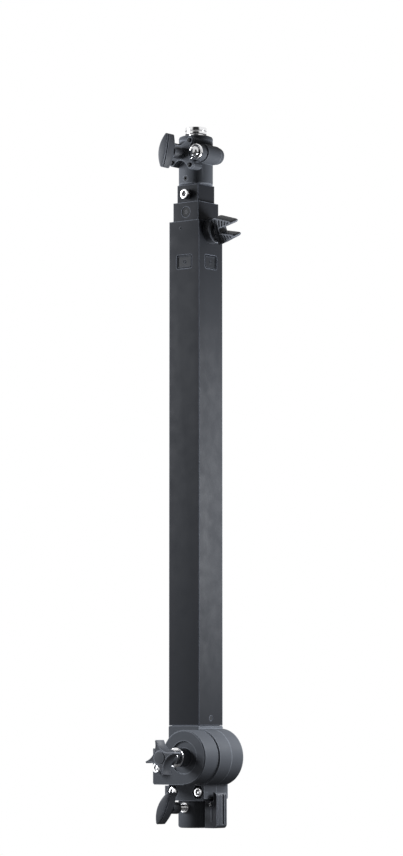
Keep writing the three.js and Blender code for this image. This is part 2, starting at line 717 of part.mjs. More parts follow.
function outerTube() {
  const glide_level = outer_top - glide_below_top;
  const across = outer_side / 2 + cut_overrun;
  const window_outline = roundedRect(glide_width, glide_height, glide_corner, 0, glide_level);
  const window_y = slabY(window_outline, -across, across, corner_steps);
  const window_x = slabX(window_outline, -across, across, corner_steps);
  const rivet_hole = turnY(rod(rivet_shank + seat_gap, -across, 0), pin_sides);
  const pad_hole = turnX(rod(clamp_pad_radius + seat_gap, 0, across), rod_sides);
  const screw_hole = turnX(rod(tube_screw_radius + seat_gap, 0, across), small_sides);
  return piece('outer_tube', tube_paint(), cut(squareTube(outer_side, tube_wall, outer_bottom, outer_top), [
    window_y,
    window_x,
    rivet_hole.translate([rivet_x, 0, outer_top - rivet_below_top]),
    pad_hole.translate([0, 0, outer_top - clamp_below_top]),
    screw_hole.translate([0, 0, outer_bottom + tube_screw_above]),
  ]));
}
function glide(side, turn) {
  const face = -outer_side / 2 + glide_recess;
  const inside = -middle_side / 2 - seat_gap;
  const flange_face = -outer_bore / 2 + seat_gap;
  const block = slabY(roundedRect(glide_width - 2 * seat_gap, glide_height - 2 * seat_gap, glide_corner), face,
    inside, corner_steps);
  const flange = slabY(roundedRect(glide_width + 2 * glide_flange_rim, glide_height + 2 * glide_flange_rim,
    glide_corner), flange_face, inside, corner_steps);
  const dot = turnY(rod(glide_dot_radius, face - cut_overrun, face + glide_dot_depth), pin_sides);
  const mesh = piece(`glide_${side}`, glide_plastic(), joined([block, flange]).subtract(dot));
  mesh.position.z = outer_top - glide_below_top;
  mesh.rotation.z = turn;
  return mesh;
}
function stopRivet() {
  const face = -outer_side / 2 - seat_gap;
  const inside = -outer_bore / 2 - seat_gap;
  const rivet = piece('stop_rivet', black_steel(), turnY([
    [0, inside], [rivet_shank, inside], [rivet_shank, face], [rivet_radius, face],
    [rivet_radius / 2, face - rivet_head], [0, face - rivet_head],
  ], pin_sides));
  rivet.position.set(rivet_x, 0, outer_top - rivet_below_top);
  return rivet;
}
function tubeScrew() {
  const face = outer_side / 2 - seat_gap;
  const body = turnX(rod(tube_screw_radius, face - tube_screw_length, face), small_sides);
  const screw = piece('tube_screw', black_steel(), body);
  screw.position.z = outer_bottom + tube_screw_above;
  return screw;
}

// Clamp on the right face: boss, washer, screw with a pad, and the forked wing knob
const clamp_boss_radius = 17;
const clamp_boss_depth = 10;
const clamp_boss_recess = 3;
const clamp_boss_rim = 3;
const clamp_washer_radius = 8;
const clamp_hub_radius = 6.2;
const clamp_hub_length = 2.4;
const clamp_turn = -0.38;
function clamp() {
  const group = new THREE.Group();
  const face = -outer_side / 2 - seat_gap;
  const boss_front = face - clamp_boss_depth;
  const recess_floor = boss_front + clamp_boss_recess;
  const boss = turnY([
    [stud_hole_radius, face], [clamp_boss_radius, face], [clamp_boss_radius, boss_front + edge_chamfer],
    [clamp_boss_radius - edge_chamfer, boss_front], [clamp_boss_radius - clamp_boss_rim, boss_front],
    [clamp_boss_radius - clamp_boss_rim - edge_chamfer, recess_floor], [stud_hole_radius, recess_floor],
    [stud_hole_radius, face],
  ], barrel_sides);
  const washer_back = recess_floor - seat_gap;
  const washer_front = boss_front - washer_thickness;
  const hub_back = washer_front - seat_gap;
  const wing_back = hub_back - clamp_hub_length;
  const pad_face = -middle_side / 2 - seat_gap;
  const pad_back = -outer_side / 2;
  const washer = turnY(ring(stud_hole_radius, clamp_washer_radius, washer_front, washer_back));
  const screw = paddedStud(wing_back - wing_grip, pad_back, pad_face, clamp_pad_radius);
  const knob = wingKnob('clamp_knob', wing_back, hub_back, clamp_hub_radius, stud_radius);
  knob.rotation.y = clamp_turn;
  group.add(piece('clamp_boss', black_plastic(), boss), piece('clamp_washer', chrome(), washer));
  group.add(piece('clamp_screw', bright_steel(), screw), knob);
  group.position.z = outer_top - clamp_below_top;
  group.rotation.z = Math.PI / 2;
  return group;
}

// Housing in two halves: tube plug, body, reel drum and lower block
const split = 1;
const drum_front = -25;
const drum_rear = 26;
const housing_wall = 4;
const reel_cavity_radius = 31;
const block_left = -31;
const block_right = 33;
const block_chamfer = 3;
const body_top_drop = 1.5;
const tape_channel_half = 5;
const tape_channel_half_width = 13.5;
const axle_radius = 5;
const bush_radius = 8;
const bush_length = 7;
const journal_length = 5;
const neck_radius_below = 12;
const flange_radius = 17;
const flange_height = 3;
const block_screw_x = [-18.6, 22.9];
const block_screw_below_top = 8;
const block_screw_length = 34;
const counterbore_radius = 9.6;
const counterbore_turn = 30;
const counterbore_depth = 8;

function housingWhole() {
  const half = outer_side / 2;
  const [front, rear] = [drum_front, -drum_front];
  const neck_top = outer_bottom - seat_gap;
  const body = slabY(outline([
    [-half, block_top], [reel_offset, block_top], [reel_offset, drum_level], [half, drum_level],
    [half, neck_top - body_top_drop], [half - body_top_drop, neck_top],
    [body_top_drop - half, neck_top], [-half, neck_top - body_top_drop],
  ]), front, rear);
  const drum = turnY([
    [0, front], [drum_radius - edge_chamfer, front], [drum_radius, front + edge_chamfer],
    [drum_radius, drum_rear - edge_chamfer], [drum_radius - edge_chamfer, drum_rear], [0, drum_rear],
  ], drum_sides).translate([reel_offset, 0, drum_level]);
  const block = slabY(outline([
    [block_left + block_chamfer, block_bottom], [block_right - block_chamfer, block_bottom],
    [block_right, block_bottom + block_chamfer], [block_right, block_top], [block_left, block_top],
    [block_left, block_bottom + block_chamfer],
  ]), front, rear);
  const plug_side = outer_bore - 2 * seat_gap;
  const plug = slabZ(roundedRect(plug_side, plug_side, plug_corner), neck_top - cut_overrun,
    outer_bottom + housing_plug_height, corner_steps);
  const link = box(0, block_right, front, rear, block_bottom + block_chamfer, drum_level - drum_radius / 2);
  return joined([body, drum, block, plug, link]);
}
function housingCuts() {
  const journal_start = drum_rear - housing_wall - journal_length;
  const journal_boss = turnY(rod(bush_radius, journal_start, drum_rear), rod_sides);
  const cavity = turnY(rod(reel_cavity_radius, drum_front + housing_wall, drum_rear - housing_wall), bore_sides)
    .subtract(journal_boss);
  const channel = box(-tape_channel_half, tape_channel_half, -tape_channel_half_width, tape_channel_half_width,
    drum_level, outer_bottom + housing_plug_height + cut_overrun);
  const bush_hole = turnY(rod(bush_radius + seat_gap, drum_front - cut_overrun, drum_front + bush_length),
    rod_sides);
  const journal_hole = turnY(rod(axle_radius + seat_gap, journal_start - cut_overrun,
    drum_rear - housing_wall / 2), rod_sides);
  const flange_bottom = block_top - flange_height;
  const neck_hole = turnZ(rod(neck_radius_below + seat_gap, block_bottom - cut_overrun, flange_bottom));
  const flange_hole = turnZ(rod(flange_radius + seat_gap, flange_bottom - seat_gap, block_top + seat_gap));
  const screw_level = block_top - block_screw_below_top;
  const screw_hole_end = drum_front + counterbore_depth + block_screw_length + seat_gap;
  const block_screws = block_screw_x.flatMap((x) => [
    turnY(rod(m8_hole_radius, drum_front - cut_overrun, screw_hole_end), small_sides)
      .translate([x, 0, screw_level]),
    turnY(rod(counterbore_radius, drum_front - cut_overrun, drum_front + counterbore_depth),
      key_sides).rotate([0, counterbore_turn, 0]).translate([x, 0, screw_level]),
  ]);
  const tube_screw_hole = turnX(rod(tube_screw_radius + seat_gap, 0, outer_side), small_sides);
  return [
    cavity.translate([reel_offset, 0, drum_level]),
    bush_hole.translate([reel_offset, 0, drum_level]),
    journal_hole.translate([reel_offset, 0, drum_level]),
    channel, neck_hole, flange_hole, ...block_screws,
    tube_screw_hole.translate([0, 0, outer_bottom + tube_screw_above]),
  ];
}
function housingHalves() {
  const reach = 2 * outer_side;
  const whole = cut(housingWhole(), housingCuts());
  const half = (name, y0, y1) => piece(name, cast_paint(),
    whole.intersect(box(-reach, reach, y0, y1, foot, outer_top)));
  return [
    half('housing_front', -reach, split - seat_gap / 2),
    half('housing_rear', split + seat_gap / 2, reach),
  ];
}

// Reel with its flanges, the wound tape, the axle and its bush
const reel_hub_radius = 12;
const reel_flange_radius = 29;
const reel_flange_thickness = 2;
const wound_tape_radius = reel_offset - tape_thickness;
const axle_front = -36;
const axle_rear = 23.5;
const axle_flat = 1;
function reelParts() {
  const group = new THREE.Group();
  const half_width = tape_width / 2 + seat_gap;
  const side = half_width + reel_flange_thickness;
  const reel = turnY([
    [axle_radius + seat_gap, -side], [reel_flange_radius, -side], [reel_flange_radius, -half_width],
    [reel_hub_radius, -half_width], [reel_hub_radius, half_width], [reel_flange_radius, half_width],
    [reel_flange_radius, side], [axle_radius + seat_gap, side], [axle_radius + seat_gap, -side],
  ], barrel_sides);
  const wound = turnY(ring(reel_hub_radius + seat_gap, wound_tape_radius, -tape_width / 2, tape_width / 2),
    barrel_sides);
  const axle = turnY(rod(axle_radius, axle_front, axle_rear), rod_sides);
  const flat = box(axle_radius - axle_flat, axle_radius + cut_overrun, axle_front - cut_overrun,
    axle_front + brake_plate_thickness + pressure_plate_thickness + 2 * seat_gap, -axle_radius, axle_radius);
  group.add(piece('reel', grey_plastic(), reel), piece('wound_tape', spring_steel(), wound));
  group.add(piece('reel_axle', bright_steel(), axle.subtract(flat)));
  group.position.set(reel_offset, 0, drum_level);
  return group;
}
function axleBush() {
  const body = turnY(ring(axle_radius + seat_gap, bush_radius, drum_front, drum_front + bush_length), rod_sides);
  const bush = piece('axle_bush', bronze(), body);
  bush.position.set(reel_offset, 0, drum_level);
  return bush;
}

// Friction brake in front of the drum: D-shaped casting, plates, lining, disc spring, screw and knob
const brake_front = -53;
const brake_wall = 4;
const brake_disc_radius = 35;
const brake_left = -28.4;
const brake_top_above_axis = 11.3;
const brake_bottom_corner = 2;
const brake_cavity_radius = 28;
const brake_step_radius = 21;
const brake_step_depth = 2;
const brake_boss_radius = 12;
const brake_boss_front = -67.5;
const brake_plate_radius = 25;
const brake_plate_thickness = 3;
const lining_inner_radius = 13;
const lining_thickness = 4;
const pressure_plate_thickness = 3;
const pressure_lug_half = 3;
const pressure_lug_reach = 29.5;
const disc_spring_inner = 7;
const disc_spring_outer = 19;
const disc_spring_rise = 3;
const disc_spring_thickness = 1.2;
const brake_flange_radius = 9;
const brake_flange_thickness = 2.5;
const brake_screw_radius = 5;
const brake_washer_radius = 12.5;
const brake_washer_thickness = 2;
const brake_hub_radius = 10.3;
const brake_hub_length = 16.5;
const brake_star_depth = 16.4;
const brake_turn = -Math.PI / 12;
const fixing_screw_x = -16.5;
const fixing_screw_below_axis = 13.8;
const fixing_screw_length = 22;

function brakeStack() {
  const back = drum_front - seat_gap;
  const lining_front = back - seat_gap - lining_thickness;
  const plate_face = lining_front - seat_gap - brake_plate_thickness;
  const pressure_front = plate_face - seat_gap - pressure_plate_thickness;
  const spring_front = pressure_front - seat_gap - disc_spring_rise - disc_spring_thickness;
  const flange_back = spring_front - seat_gap;
  return { back, lining_front, plate_face, pressure_front, spring_front, flange_back };
}
function brakeCasting() {
  const { back } = brakeStack();
  const flat_bottom = -brake_disc_radius;
  const left = brake_left - reel_offset;
  const step_floor = brake_front + brake_step_depth;
  const cavity_front = step_floor + brake_wall;
  const body = slabY(outline([
    [left + brake_bottom_corner, flat_bottom], [0, flat_bottom], [0, brake_top_above_axis],
    [left, brake_top_above_axis], [left, flat_bottom + brake_bottom_corner],
  ]), brake_front, back);
  const disc = turnY([
    [0, brake_front], [brake_disc_radius - edge_chamfer, brake_front],
    [brake_disc_radius, brake_front + edge_chamfer], [brake_disc_radius, back], [0, back],
  ], disc_sides);
  const boss = turnY([
    [0, brake_boss_front], [brake_boss_radius, brake_boss_front],
    [brake_boss_radius, step_floor + cut_overrun], [0, step_floor + cut_overrun],
  ]);
  const step = turnY(ring(brake_boss_radius, brake_step_radius, brake_front - cut_overrun, step_floor));
  const cavity = turnY(rod(brake_cavity_radius, cavity_front, back + cut_overrun), barrel_sides);
  const lug_slots = box(-pressure_lug_reach - seat_gap, pressure_lug_reach + seat_gap, cavity_front,
    back + cut_overrun, -pressure_lug_half - seat_gap, pressure_lug_half + seat_gap);
  const hole = turnY(rod(brake_screw_radius + seat_gap, brake_boss_front - cut_overrun, back), rod_sides);
  const fixing_end = brake_front + fixing_screw_length + seat_gap;
  const fixing = turnY(rod(m8_hole_radius, brake_front - cut_overrun, fixing_end), small_sides)
    .translate([fixing_screw_x - reel_offset, 0, -fixing_screw_below_axis]);
  const casting = piece('brake_casting', cast_paint(), cut(joined([body, disc, boss]), [
    step, cavity, lug_slots, hole, fixing,
  ]));
  casting.position.set(reel_offset, 0, drum_level);
  return casting;
}
function brakeParts() {
  const { back, lining_front, plate_face, pressure_front, spring_front, flange_back } = brakeStack();
  const group = new THREE.Group();
  const hole = axle_radius + seat_gap;
  const lug_root = brake_plate_radius - cut_overrun;
  const lining_ring = turnY(ring(lining_inner_radius, brake_plate_radius, lining_front, back - seat_gap));
  const plate = turnY(ring(hole, brake_plate_radius, plate_face, plate_face + brake_plate_thickness));
  const pressure = joined([
    turnY(ring(hole, brake_plate_radius, pressure_front, pressure_front + pressure_plate_thickness)),
    ...[[-pressure_lug_reach, -lug_root], [lug_root, pressure_lug_reach]].map(([from, to]) => box(from, to,
      pressure_front, pressure_front + pressure_plate_thickness, -pressure_lug_half, pressure_lug_half)),
  ]);
  const spring = turnY([
    [disc_spring_inner, spring_front], [disc_spring_outer, spring_front + disc_spring_rise],
    [disc_spring_outer, spring_front + disc_spring_rise + disc_spring_thickness],
    [disc_spring_inner, spring_front + disc_spring_thickness], [disc_spring_inner, spring_front],
  ], spigot_sides);
  const washer_back = brake_boss_front - seat_gap;
  const washer_front = washer_back - brake_washer_thickness;
  const hub_back = washer_front - seat_gap;
  const star_back = hub_back - brake_hub_length;
  const star_front = star_back - brake_star_depth;
  const screw_end = (star_front + star_back) / 2;
  const flange_front = flange_back - brake_flange_thickness;
  const screw = turnY([
    [0, screw_end], [brake_screw_radius, screw_end], [brake_screw_radius, flange_front],
    [brake_flange_radius, flange_front], [brake_flange_radius, flange_back], [0, flange_back],
  ], rod_sides);
  const knob = starKnob('brake_knob', star_front, star_back, hub_back, brake_hub_radius, brake_screw_radius,
    screw_end);
  knob.rotation.y = brake_turn;
  group.add(piece('brake_lining', lining(), lining_ring), piece('brake_plate', bright_steel(), plate));
  group.add(piece('pressure_plate', bright_steel(), pressure), piece('brake_spring', spring_steel(), spring));
  group.add(piece('brake_screw', bright_steel(), screw), knob);
  group.add(piece('brake_washer', chrome(), turnY(ring(brake_screw_radius + seat_gap, brake_washer_radius,
    washer_front, washer_back))));
  group.position.set(reel_offset, 0, drum_level);
  return group;
}

// Bottom socket: barrel with a bore, a neck and flange held between the housing halves, and a latch lug
const latch_inner = 23.3;
const latch_outer = 42.5;
const latch_half_width = 10.7;
const latch_cheek = 3;
const latch_height = 46;
const latch_wall_inner = 36.8;
const latch_cheek_top = 34.4;
const latch_rounding = 5;
const latch_pin_x = 31.8;
const latch_pin_height = 30;
const latch_pin_radius = 2;
const latch_spring_wire = 0.5;
const latch_spring_turns = 2;
const nose_reach = 12.4;
const nose_half_width = 4;
const nose_bottom = 15;
const nose_top = 21.5;
const web_bottom = 8;
const lug_bottom = 25.5;
const lug_top = 34;
const lug_half_width = 4;
const lug_reach = 34.5;
const nose_slot_bottom = 9.5;
const grip_grooves = [[-9, -7.8], [-2.7, -1.9], [1, 5], [7.3, 8.5]];
const grip_depth = 1.4;
const rail_width = 2.4;
const rail_rise = 0.7;
const rail_x = 34.3;
const rail_bottom = 9;
const rail_top = 27;

function bottomSocket() {
  const barrel_top = block_bottom - seat_gap;
  const flange_bottom = block_top - flange_height;
  const rounding = barrel_rounding * (1 - Math.SQRT1_2);
  const body = turnZ([
    [0, foot], [bottom_barrel_radius - barrel_rounding, foot],
    [bottom_barrel_radius - rounding, foot + rounding], [bottom_barrel_radius, foot + barrel_rounding],
    [bottom_barrel_radius, barrel_top], [neck_radius_below, barrel_top], [neck_radius_below, flange_bottom],
    [flange_radius, flange_bottom], [flange_radius, block_top], [0, block_top],
  ], barrel_sides);
  const lug = box(0, lug_reach, -lug_half_width, lug_half_width, foot + lug_bottom, foot + lug_top);
  const bore = turnZ(rod(bore_radius, foot - cut_overrun, foot + bottom_bore_depth), bore_sides);
  const nose_slot = box(0, bottom_barrel_radius + cut_overrun, -nose_half_width - seat_gap,
    nose_half_width + seat_gap, foot + nose_slot_bottom, foot + lug_bottom - seat_gap);
  const pin_hole = turnY(rod(latch_pin_radius + seat_gap, -latch_half_width, latch_half_width), small_sides);
  const stud_hole = turnY(rod(stud_hole_radius, -bottom_barrel_radius - cut_overrun, 0), small_sides);
  const pad_hole = turnY(rod(pad_hole_radius, -bore_radius - pad_length - 2 * seat_gap, 0), small_sides);
  return piece('bottom_socket', cast_paint(), cut(joined([body, lug]), [
    bore, nose_slot,
    pin_hole.translate([latch_pin_x, 0, foot + latch_pin_height]),
    stud_hole.translate([0, 0, bottom_knob_level]),
    pad_hole.translate([0, 0, bottom_knob_level]),
  ]));
}
function latch() {
  const profile = new THREE.Shape();
  profile.moveTo(latch_inner, foot);
  profile.lineTo(latch_outer - latch_rounding, foot);
  const [round_x, round_z] = [latch_outer - latch_rounding, foot + latch_height - latch_rounding];
  profile.absarc(round_x, foot + latch_rounding, latch_rounding, -Math.PI / 2, 0);
  profile.lineTo(latch_outer, round_z);
  profile.absarc(round_x, round_z, latch_rounding, 0, Math.PI / 2);
  profile.lineTo(latch_wall_inner, foot + latch_height);
  profile.lineTo(latch_wall_inner, foot + latch_cheek_top);
  profile.lineTo(latch_inner, foot + latch_cheek_top);
  const whole = slabY(profile, -latch_half_width, latch_half_width, edge_steps);
  const inside_half = latch_half_width - latch_cheek;
  const hollow = [
    box(0, latch_wall_inner, -inside_half, inside_half, foot + nose_top, foot + latch_height),
    box(0, latch_wall_inner, -inside_half, inside_half, foot - cut_overrun, foot + web_bottom),
  ];
  const nose = box(nose_reach, latch_wall_inner, -nose_half_width, nose_half_width,
    foot + nose_bottom, foot + nose_top);
  const pin_hole = turnY(rod(latch_pin_radius + seat_gap, -latch_half_width - cut_overrun,
    latch_half_width + cut_overrun), small_sides).translate([latch_pin_x, 0, foot + latch_pin_height]);
  const grips = grip_grooves.map(([from, to]) => box(latch_outer - grip_depth, latch_outer + cut_overrun,
    from, to, foot + latch_rounding, foot + latch_height - latch_rounding / 2));
  const rail = box(rail_x - rail_width / 2, rail_x + rail_width / 2, -latch_half_width - rail_rise,
    -latch_half_width + latch_cheek / 2, foot + rail_bottom, foot + rail_top);
  return piece('latch', black_plastic(), joined([cut(whole, [...hollow, pin_hole, ...grips]), nose, rail]));
}
function latchPin() {
  const body = turnY(rod(latch_pin_radius, -latch_half_width, latch_half_width), small_sides);
  const pin = piece('latch_pin', bright_steel(), body);
  pin.position.set(latch_pin_x, 0, foot + latch_pin_height);
  return pin;
}
function latchSpring() {
  const spring = piece('latch_spring', spring_steel(), coil(latch_pin_radius + latch_spring_wire + seat_gap,
    latch_spring_wire, latch_spring_turns, lug_half_width + seat_gap,
    latch_half_width - latch_cheek - seat_gap));
  spring.position.set(latch_pin_x, 0, foot + latch_pin_height);
  return spring;
}

// Assembly
const top_tilt = 0.2;
const bottom_tilt = 0.43;
const top_knob_reach = 2;
const bottom_knob_reach = 3;
function headAssembly() {
  const group = new THREE.Group();
  group.add(topSocket(), topPlate());
  plateScrewPlaces().forEach(([x, z], i) => {
    group.add(plateScrew(`plate_screw_${i + 1}`, x, top_knob_level + z));
  });
  group.add(tKnob('top', -waist_radius - seat_gap, plate_front, top_knob_level, top_tilt, top_knob_reach,
    top_thread_showing));
  group.add(crossBoltLock(), grubScrew(), innerTube());
  const screw = socketHeadScrew('inner_tube_screw', -inner_side / 2 - seat_gap, plug_screw_length);
  screw.position.z = inner_top - plug_screw_below_top;
  group.add(screw, slideFoot('inner_foot', middle_bore, inner_bore, inner_foot_bottom, foot_hole), tapeClip());
  group.add(tapeRun('tape_upper_run', middle_foot_bottom + seat_gap,
    inner_top - plug_height - seat_gap - clip_height / 2 - seat_gap));
  return group;
}
function middleAssembly() {
  const group = new THREE.Group();
  group.add(middleTube(), middleGuide(), guideScrew());
  group.add(slideFoot('middle_foot', outer_bore, middle_bore, middle_foot_bottom, foot_hole));
  return group;
}
function outerAssembly() {
  const group = new THREE.Group();
  group.add(outerTube(), ...quarter_turns.map(([side, turn]) => glide(side, turn)), stopRivet());
  group.add(tubeScrew(), clamp(), ...housingHalves());
  const seat = drum_front + counterbore_depth - seat_gap;
  ['left', 'right'].forEach((side, i) => {
    const screw = socketHeadScrew(`block_screw_${side}`, seat, block_screw_length);
    screw.position.set(block_screw_x[i], 0, block_top - block_screw_below_top);
    group.add(screw);
  });
  group.add(reelParts(), axleBush());
  group.add(tapeRun('tape_lower_run', drum_level, middle_foot_bottom));
  const fixing = socketHeadScrew('brake_casting_screw', brake_front - seat_gap, fixing_screw_length);
  fixing.position.set(fixing_screw_x, 0, drum_level - fixing_screw_below_axis);
  group.add(brakeCasting(), brakeParts(), fixing);
  return group;
}
function footAssembly() {
  const group = new THREE.Group();
  group.add(bottomSocket(), latch(), latchPin(), latchSpring());
  group.add(tKnob('bottom', -bore_radius - seat_gap, -bottom_barrel_radius, bottom_knob_level, bottom_tilt,
    bottom_knob_reach, bottom_thread_showing));
  return group;
}

const post = new THREE.Group();
post.add(spigot(), headAssembly(), middleAssembly(), outerAssembly(), footAssembly());
export default post;
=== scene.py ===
"""Dresses a packed telescopic post: finishes for every CAD node and finer pieces where the eye rests.

Metres, +Z up, the front is -Y, and the origin is the centre of the spigot's top face.
"""
import json
import math

import bmesh
import bpy
import numpy as np
from bpy.props import FloatProperty, FloatVectorProperty, PointerProperty
from bpy.types import Operator, Panel, PropertyGroup
from mathutils import Matrix, Vector


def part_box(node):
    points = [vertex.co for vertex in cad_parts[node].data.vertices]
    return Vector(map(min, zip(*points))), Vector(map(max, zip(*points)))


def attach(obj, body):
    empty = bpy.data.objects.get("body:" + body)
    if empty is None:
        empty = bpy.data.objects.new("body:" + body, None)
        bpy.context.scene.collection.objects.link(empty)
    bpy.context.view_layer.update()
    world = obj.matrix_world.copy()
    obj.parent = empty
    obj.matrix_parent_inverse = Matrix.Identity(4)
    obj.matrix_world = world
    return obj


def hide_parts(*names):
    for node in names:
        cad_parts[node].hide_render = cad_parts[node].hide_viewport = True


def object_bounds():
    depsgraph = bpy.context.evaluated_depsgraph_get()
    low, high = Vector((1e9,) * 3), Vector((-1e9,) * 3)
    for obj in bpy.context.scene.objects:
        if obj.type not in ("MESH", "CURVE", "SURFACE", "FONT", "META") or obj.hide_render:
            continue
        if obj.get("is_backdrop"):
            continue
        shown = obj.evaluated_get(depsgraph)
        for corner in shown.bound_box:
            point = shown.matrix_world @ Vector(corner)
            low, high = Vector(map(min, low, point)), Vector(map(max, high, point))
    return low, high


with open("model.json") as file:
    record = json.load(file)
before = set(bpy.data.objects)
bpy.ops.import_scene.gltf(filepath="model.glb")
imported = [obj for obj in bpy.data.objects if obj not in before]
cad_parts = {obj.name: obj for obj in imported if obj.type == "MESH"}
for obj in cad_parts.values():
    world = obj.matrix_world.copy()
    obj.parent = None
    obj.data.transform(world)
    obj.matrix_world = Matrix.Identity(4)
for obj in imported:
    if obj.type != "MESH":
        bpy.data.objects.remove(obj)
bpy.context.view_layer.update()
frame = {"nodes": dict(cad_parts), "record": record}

bl_info = {
    "name": "Telescopic Post",
    "version": (1, 0, 0),
    "blender": (4, 5, 0),
    "location": "View3D > Sidebar > Post",
    "description": "Finishes and detailed pieces of a telescopic post",
    "category": "Object",
}

MM = 0.001

# Angles between faces: sharp in shading, still one plane, joined into one face, and rounded by a skin's bevel
SHARP_ANGLE = math.radians(32.0)
SAME_PLANE_ANGLE = math.radians(0.6)
JOINED_ANGLE = math.radians(0.3)
ROUNDED_ANGLE = math.radians(40.0)

# Lengths in metres
SAME_POINT = 2e-7
SAME_CAD_POINT = 1e-6
WIDEST_FACET = 4.2 * MM
# How far from an edge the painted edge highlight reaches
EDGE_HIGHLIGHT_REACH = 1.5 * MM

# Faces with this many corners or more are shaded flat
FLAT_CORNERS = 9

# Where on a field the painted highlight along edges and the flecks of a paint begin and are full, and how
# light a fleck is
EDGE_HIGHLIGHT_STOPS = 0.003, 0.035
FLECK_STOPS = 0.60, 0.74
FLECK_SHADE = 2.6

# Lengths of the pieces in millimetres: the radius of a profile's points on its axis, how far a T-knob's
# washer stands off the face behind it, and how far the clamp's wing reaches from its root
CORE = 0.01
T_WASHER_FRONT = 1.8
WING_REACH = 29.0

# Turns of the clamp's wing and of the brake's star in radians, and the star's number of points
WING_TILT = 0.38
STAR_TILT = -math.pi / 12
STAR_POINTS = 4


# Settings

def colour_setting(name, description, default):
    """A colour that a user may change."""
    return FloatVectorProperty(name=name, description=description, subtype="COLOR", size=3,
                               min=0.0, max=1.0, default=default)


def length_setting(name, description, default):
    """A length in metres that a user may change."""
    return FloatProperty(name=name, description=description, default=default, unit="LENGTH", precision=5)


class PostColours(PropertyGroup):
    """Colours of the post's finishes."""
    tube: colour_setting("Tube", "Powder coat of the three tubes", (0.020, 0.0215, 0.0255))
    casting: colour_setting("Casting", "Textured paint of the castings", (0.090, 0.096, 0.108))
    plastic: colour_setting("Plastic", "Moulded knobs, boss and latch", (0.074, 0.078, 0.088))
    blackened: colour_setting("Blackened", "Small blackened screws and the rivet", (0.024, 0.025, 0.029))
    bearing: colour_setting("Bearing", "Plastic of the guide sleeve, the slide feet and the reel",
                            (0.007, 0.008, 0.010))
    glide: colour_setting("Glide", "Plastic of the glides in their windows", (0.016, 0.0175, 0.021))
    chrome: colour_setting("Chrome", "Polished plating of spigot, rings and washers", (0.90, 0.90, 0.91))
    zinc: colour_setting("Zinc", "Plated screws and studs", (0.74, 0.74, 0.75))
    bronze: colour_setting("Bronze", "Axle bushes", (0.45, 0.30, 0.14))
    lining: colour_setting("Lining", "Brake lining", (0.11, 0.07, 0.05))


class PostSizes(PropertyGroup):
    """Small sizes that only the visual pieces have."""
    casting_edge: length_setting("Casting edge", "How far the castings' edges are rounded", 0.0007)
    tube_edge: length_setting("Tube edge", "How far the tubes' cut edges are rounded", 0.0004)
    latch_edge: length_setting("Latch edge", "How far the latch's edges are rounded", 0.00035)
    thread_pitch: length_setting("Thread pitch", "Distance between the crests of the studs' threads", 0.00125)
    thread_depth: length_setting("Thread depth", "From crest to root of the studs' threads", 0.00045)
    rib_width: length_setting("Rib width", "Width of the slanting ribs on the clamp's wings", 0.0012)


class PostStage(PropertyGroup):
    """Camera and light."""
    azimuth: FloatProperty(name="Azimuth", description="Camera's turn from the front towards the right face",
                           default=math.radians(38.1), subtype="ANGLE")
    distance: length_setting("Distance", "From the camera to the post's axis", 4.290)
    height: length_setting("Height", "Camera above the foot", 0.1316)
    aim: length_setting("Aim", "Height above the foot that the image's middle shows", 0.518)
    offset: length_setting("Offset", "How far right of the post's axis the image's middle lies", 0.0074)
    lens: FloatProperty(name="Lens", description="Focal length in millimetres", default=138.8)


# Shapes. Points are in millimetres until a piece is made, and a shell is (points, quads, caps).

def softened(corners, reach, steps=4, closed=True):
    """Rounds the corners of an outline: each corner c gives way to the curve
    (1-t)^2 a + 2t(1-t) c + t^2 b between the points a and b that lie `reach` from it on its two sides, or
    0.49 of the shorter side where `reach` is more."""
    points = np.array(corners, float)
    reach = np.array(np.broadcast_to(reach, len(points)), float)
    if not closed:
        reach[[0, -1]] = 0.0
    into, out = np.roll(points, 1, 0) - points, np.roll(points, -1, 0) - points
    spans = np.linalg.norm(into, axis=1), np.linalg.norm(out, axis=1)
    reach = np.minimum(reach, 0.49 * np.minimum(*spans))[:, None]
    start, end = points + into / spans[0][:, None] * reach, points + out / spans[1][:, None] * reach
    t = np.linspace(0.0, 1.0, steps + 1)[None, :, None]
    curve = (1 - t) ** 2 * start[:, None] + 2 * t * (1 - t) * points[:, None] + t ** 2 * end[:, None]
    curve = curve.reshape(-1, points.shape[1])
    return curve[np.linalg.norm(curve - np.roll(curve, 1, 0), axis=1) > 1e-6]


def inward(outline, depth):
    """An outline moved inwards: each point goes along the mean of its two sides' normals, by the depth
    divided by the cosine between that mean and a side's normal, and never by more than twice the depth."""
    side = np.roll(outline, -1, 0) - outline
    normal = np.stack([-side[:, 1], side[:, 0]], 1)
    normal /= np.linalg.norm(normal, axis=1)[:, None]
    mean = normal + np.roll(normal, 1, 0)
    mean /= np.maximum(np.linalg.norm(mean, axis=1)[:, None], 1e-9)
    stretch = 1.0 / np.maximum((mean * normal).sum(1), 0.5)[:, None]
    x, y = outline.T
    turn = np.sign(np.sum(x * np.roll(y, -1) - np.roll(x, -1) * y))
    return outline + turn * depth * mean * stretch


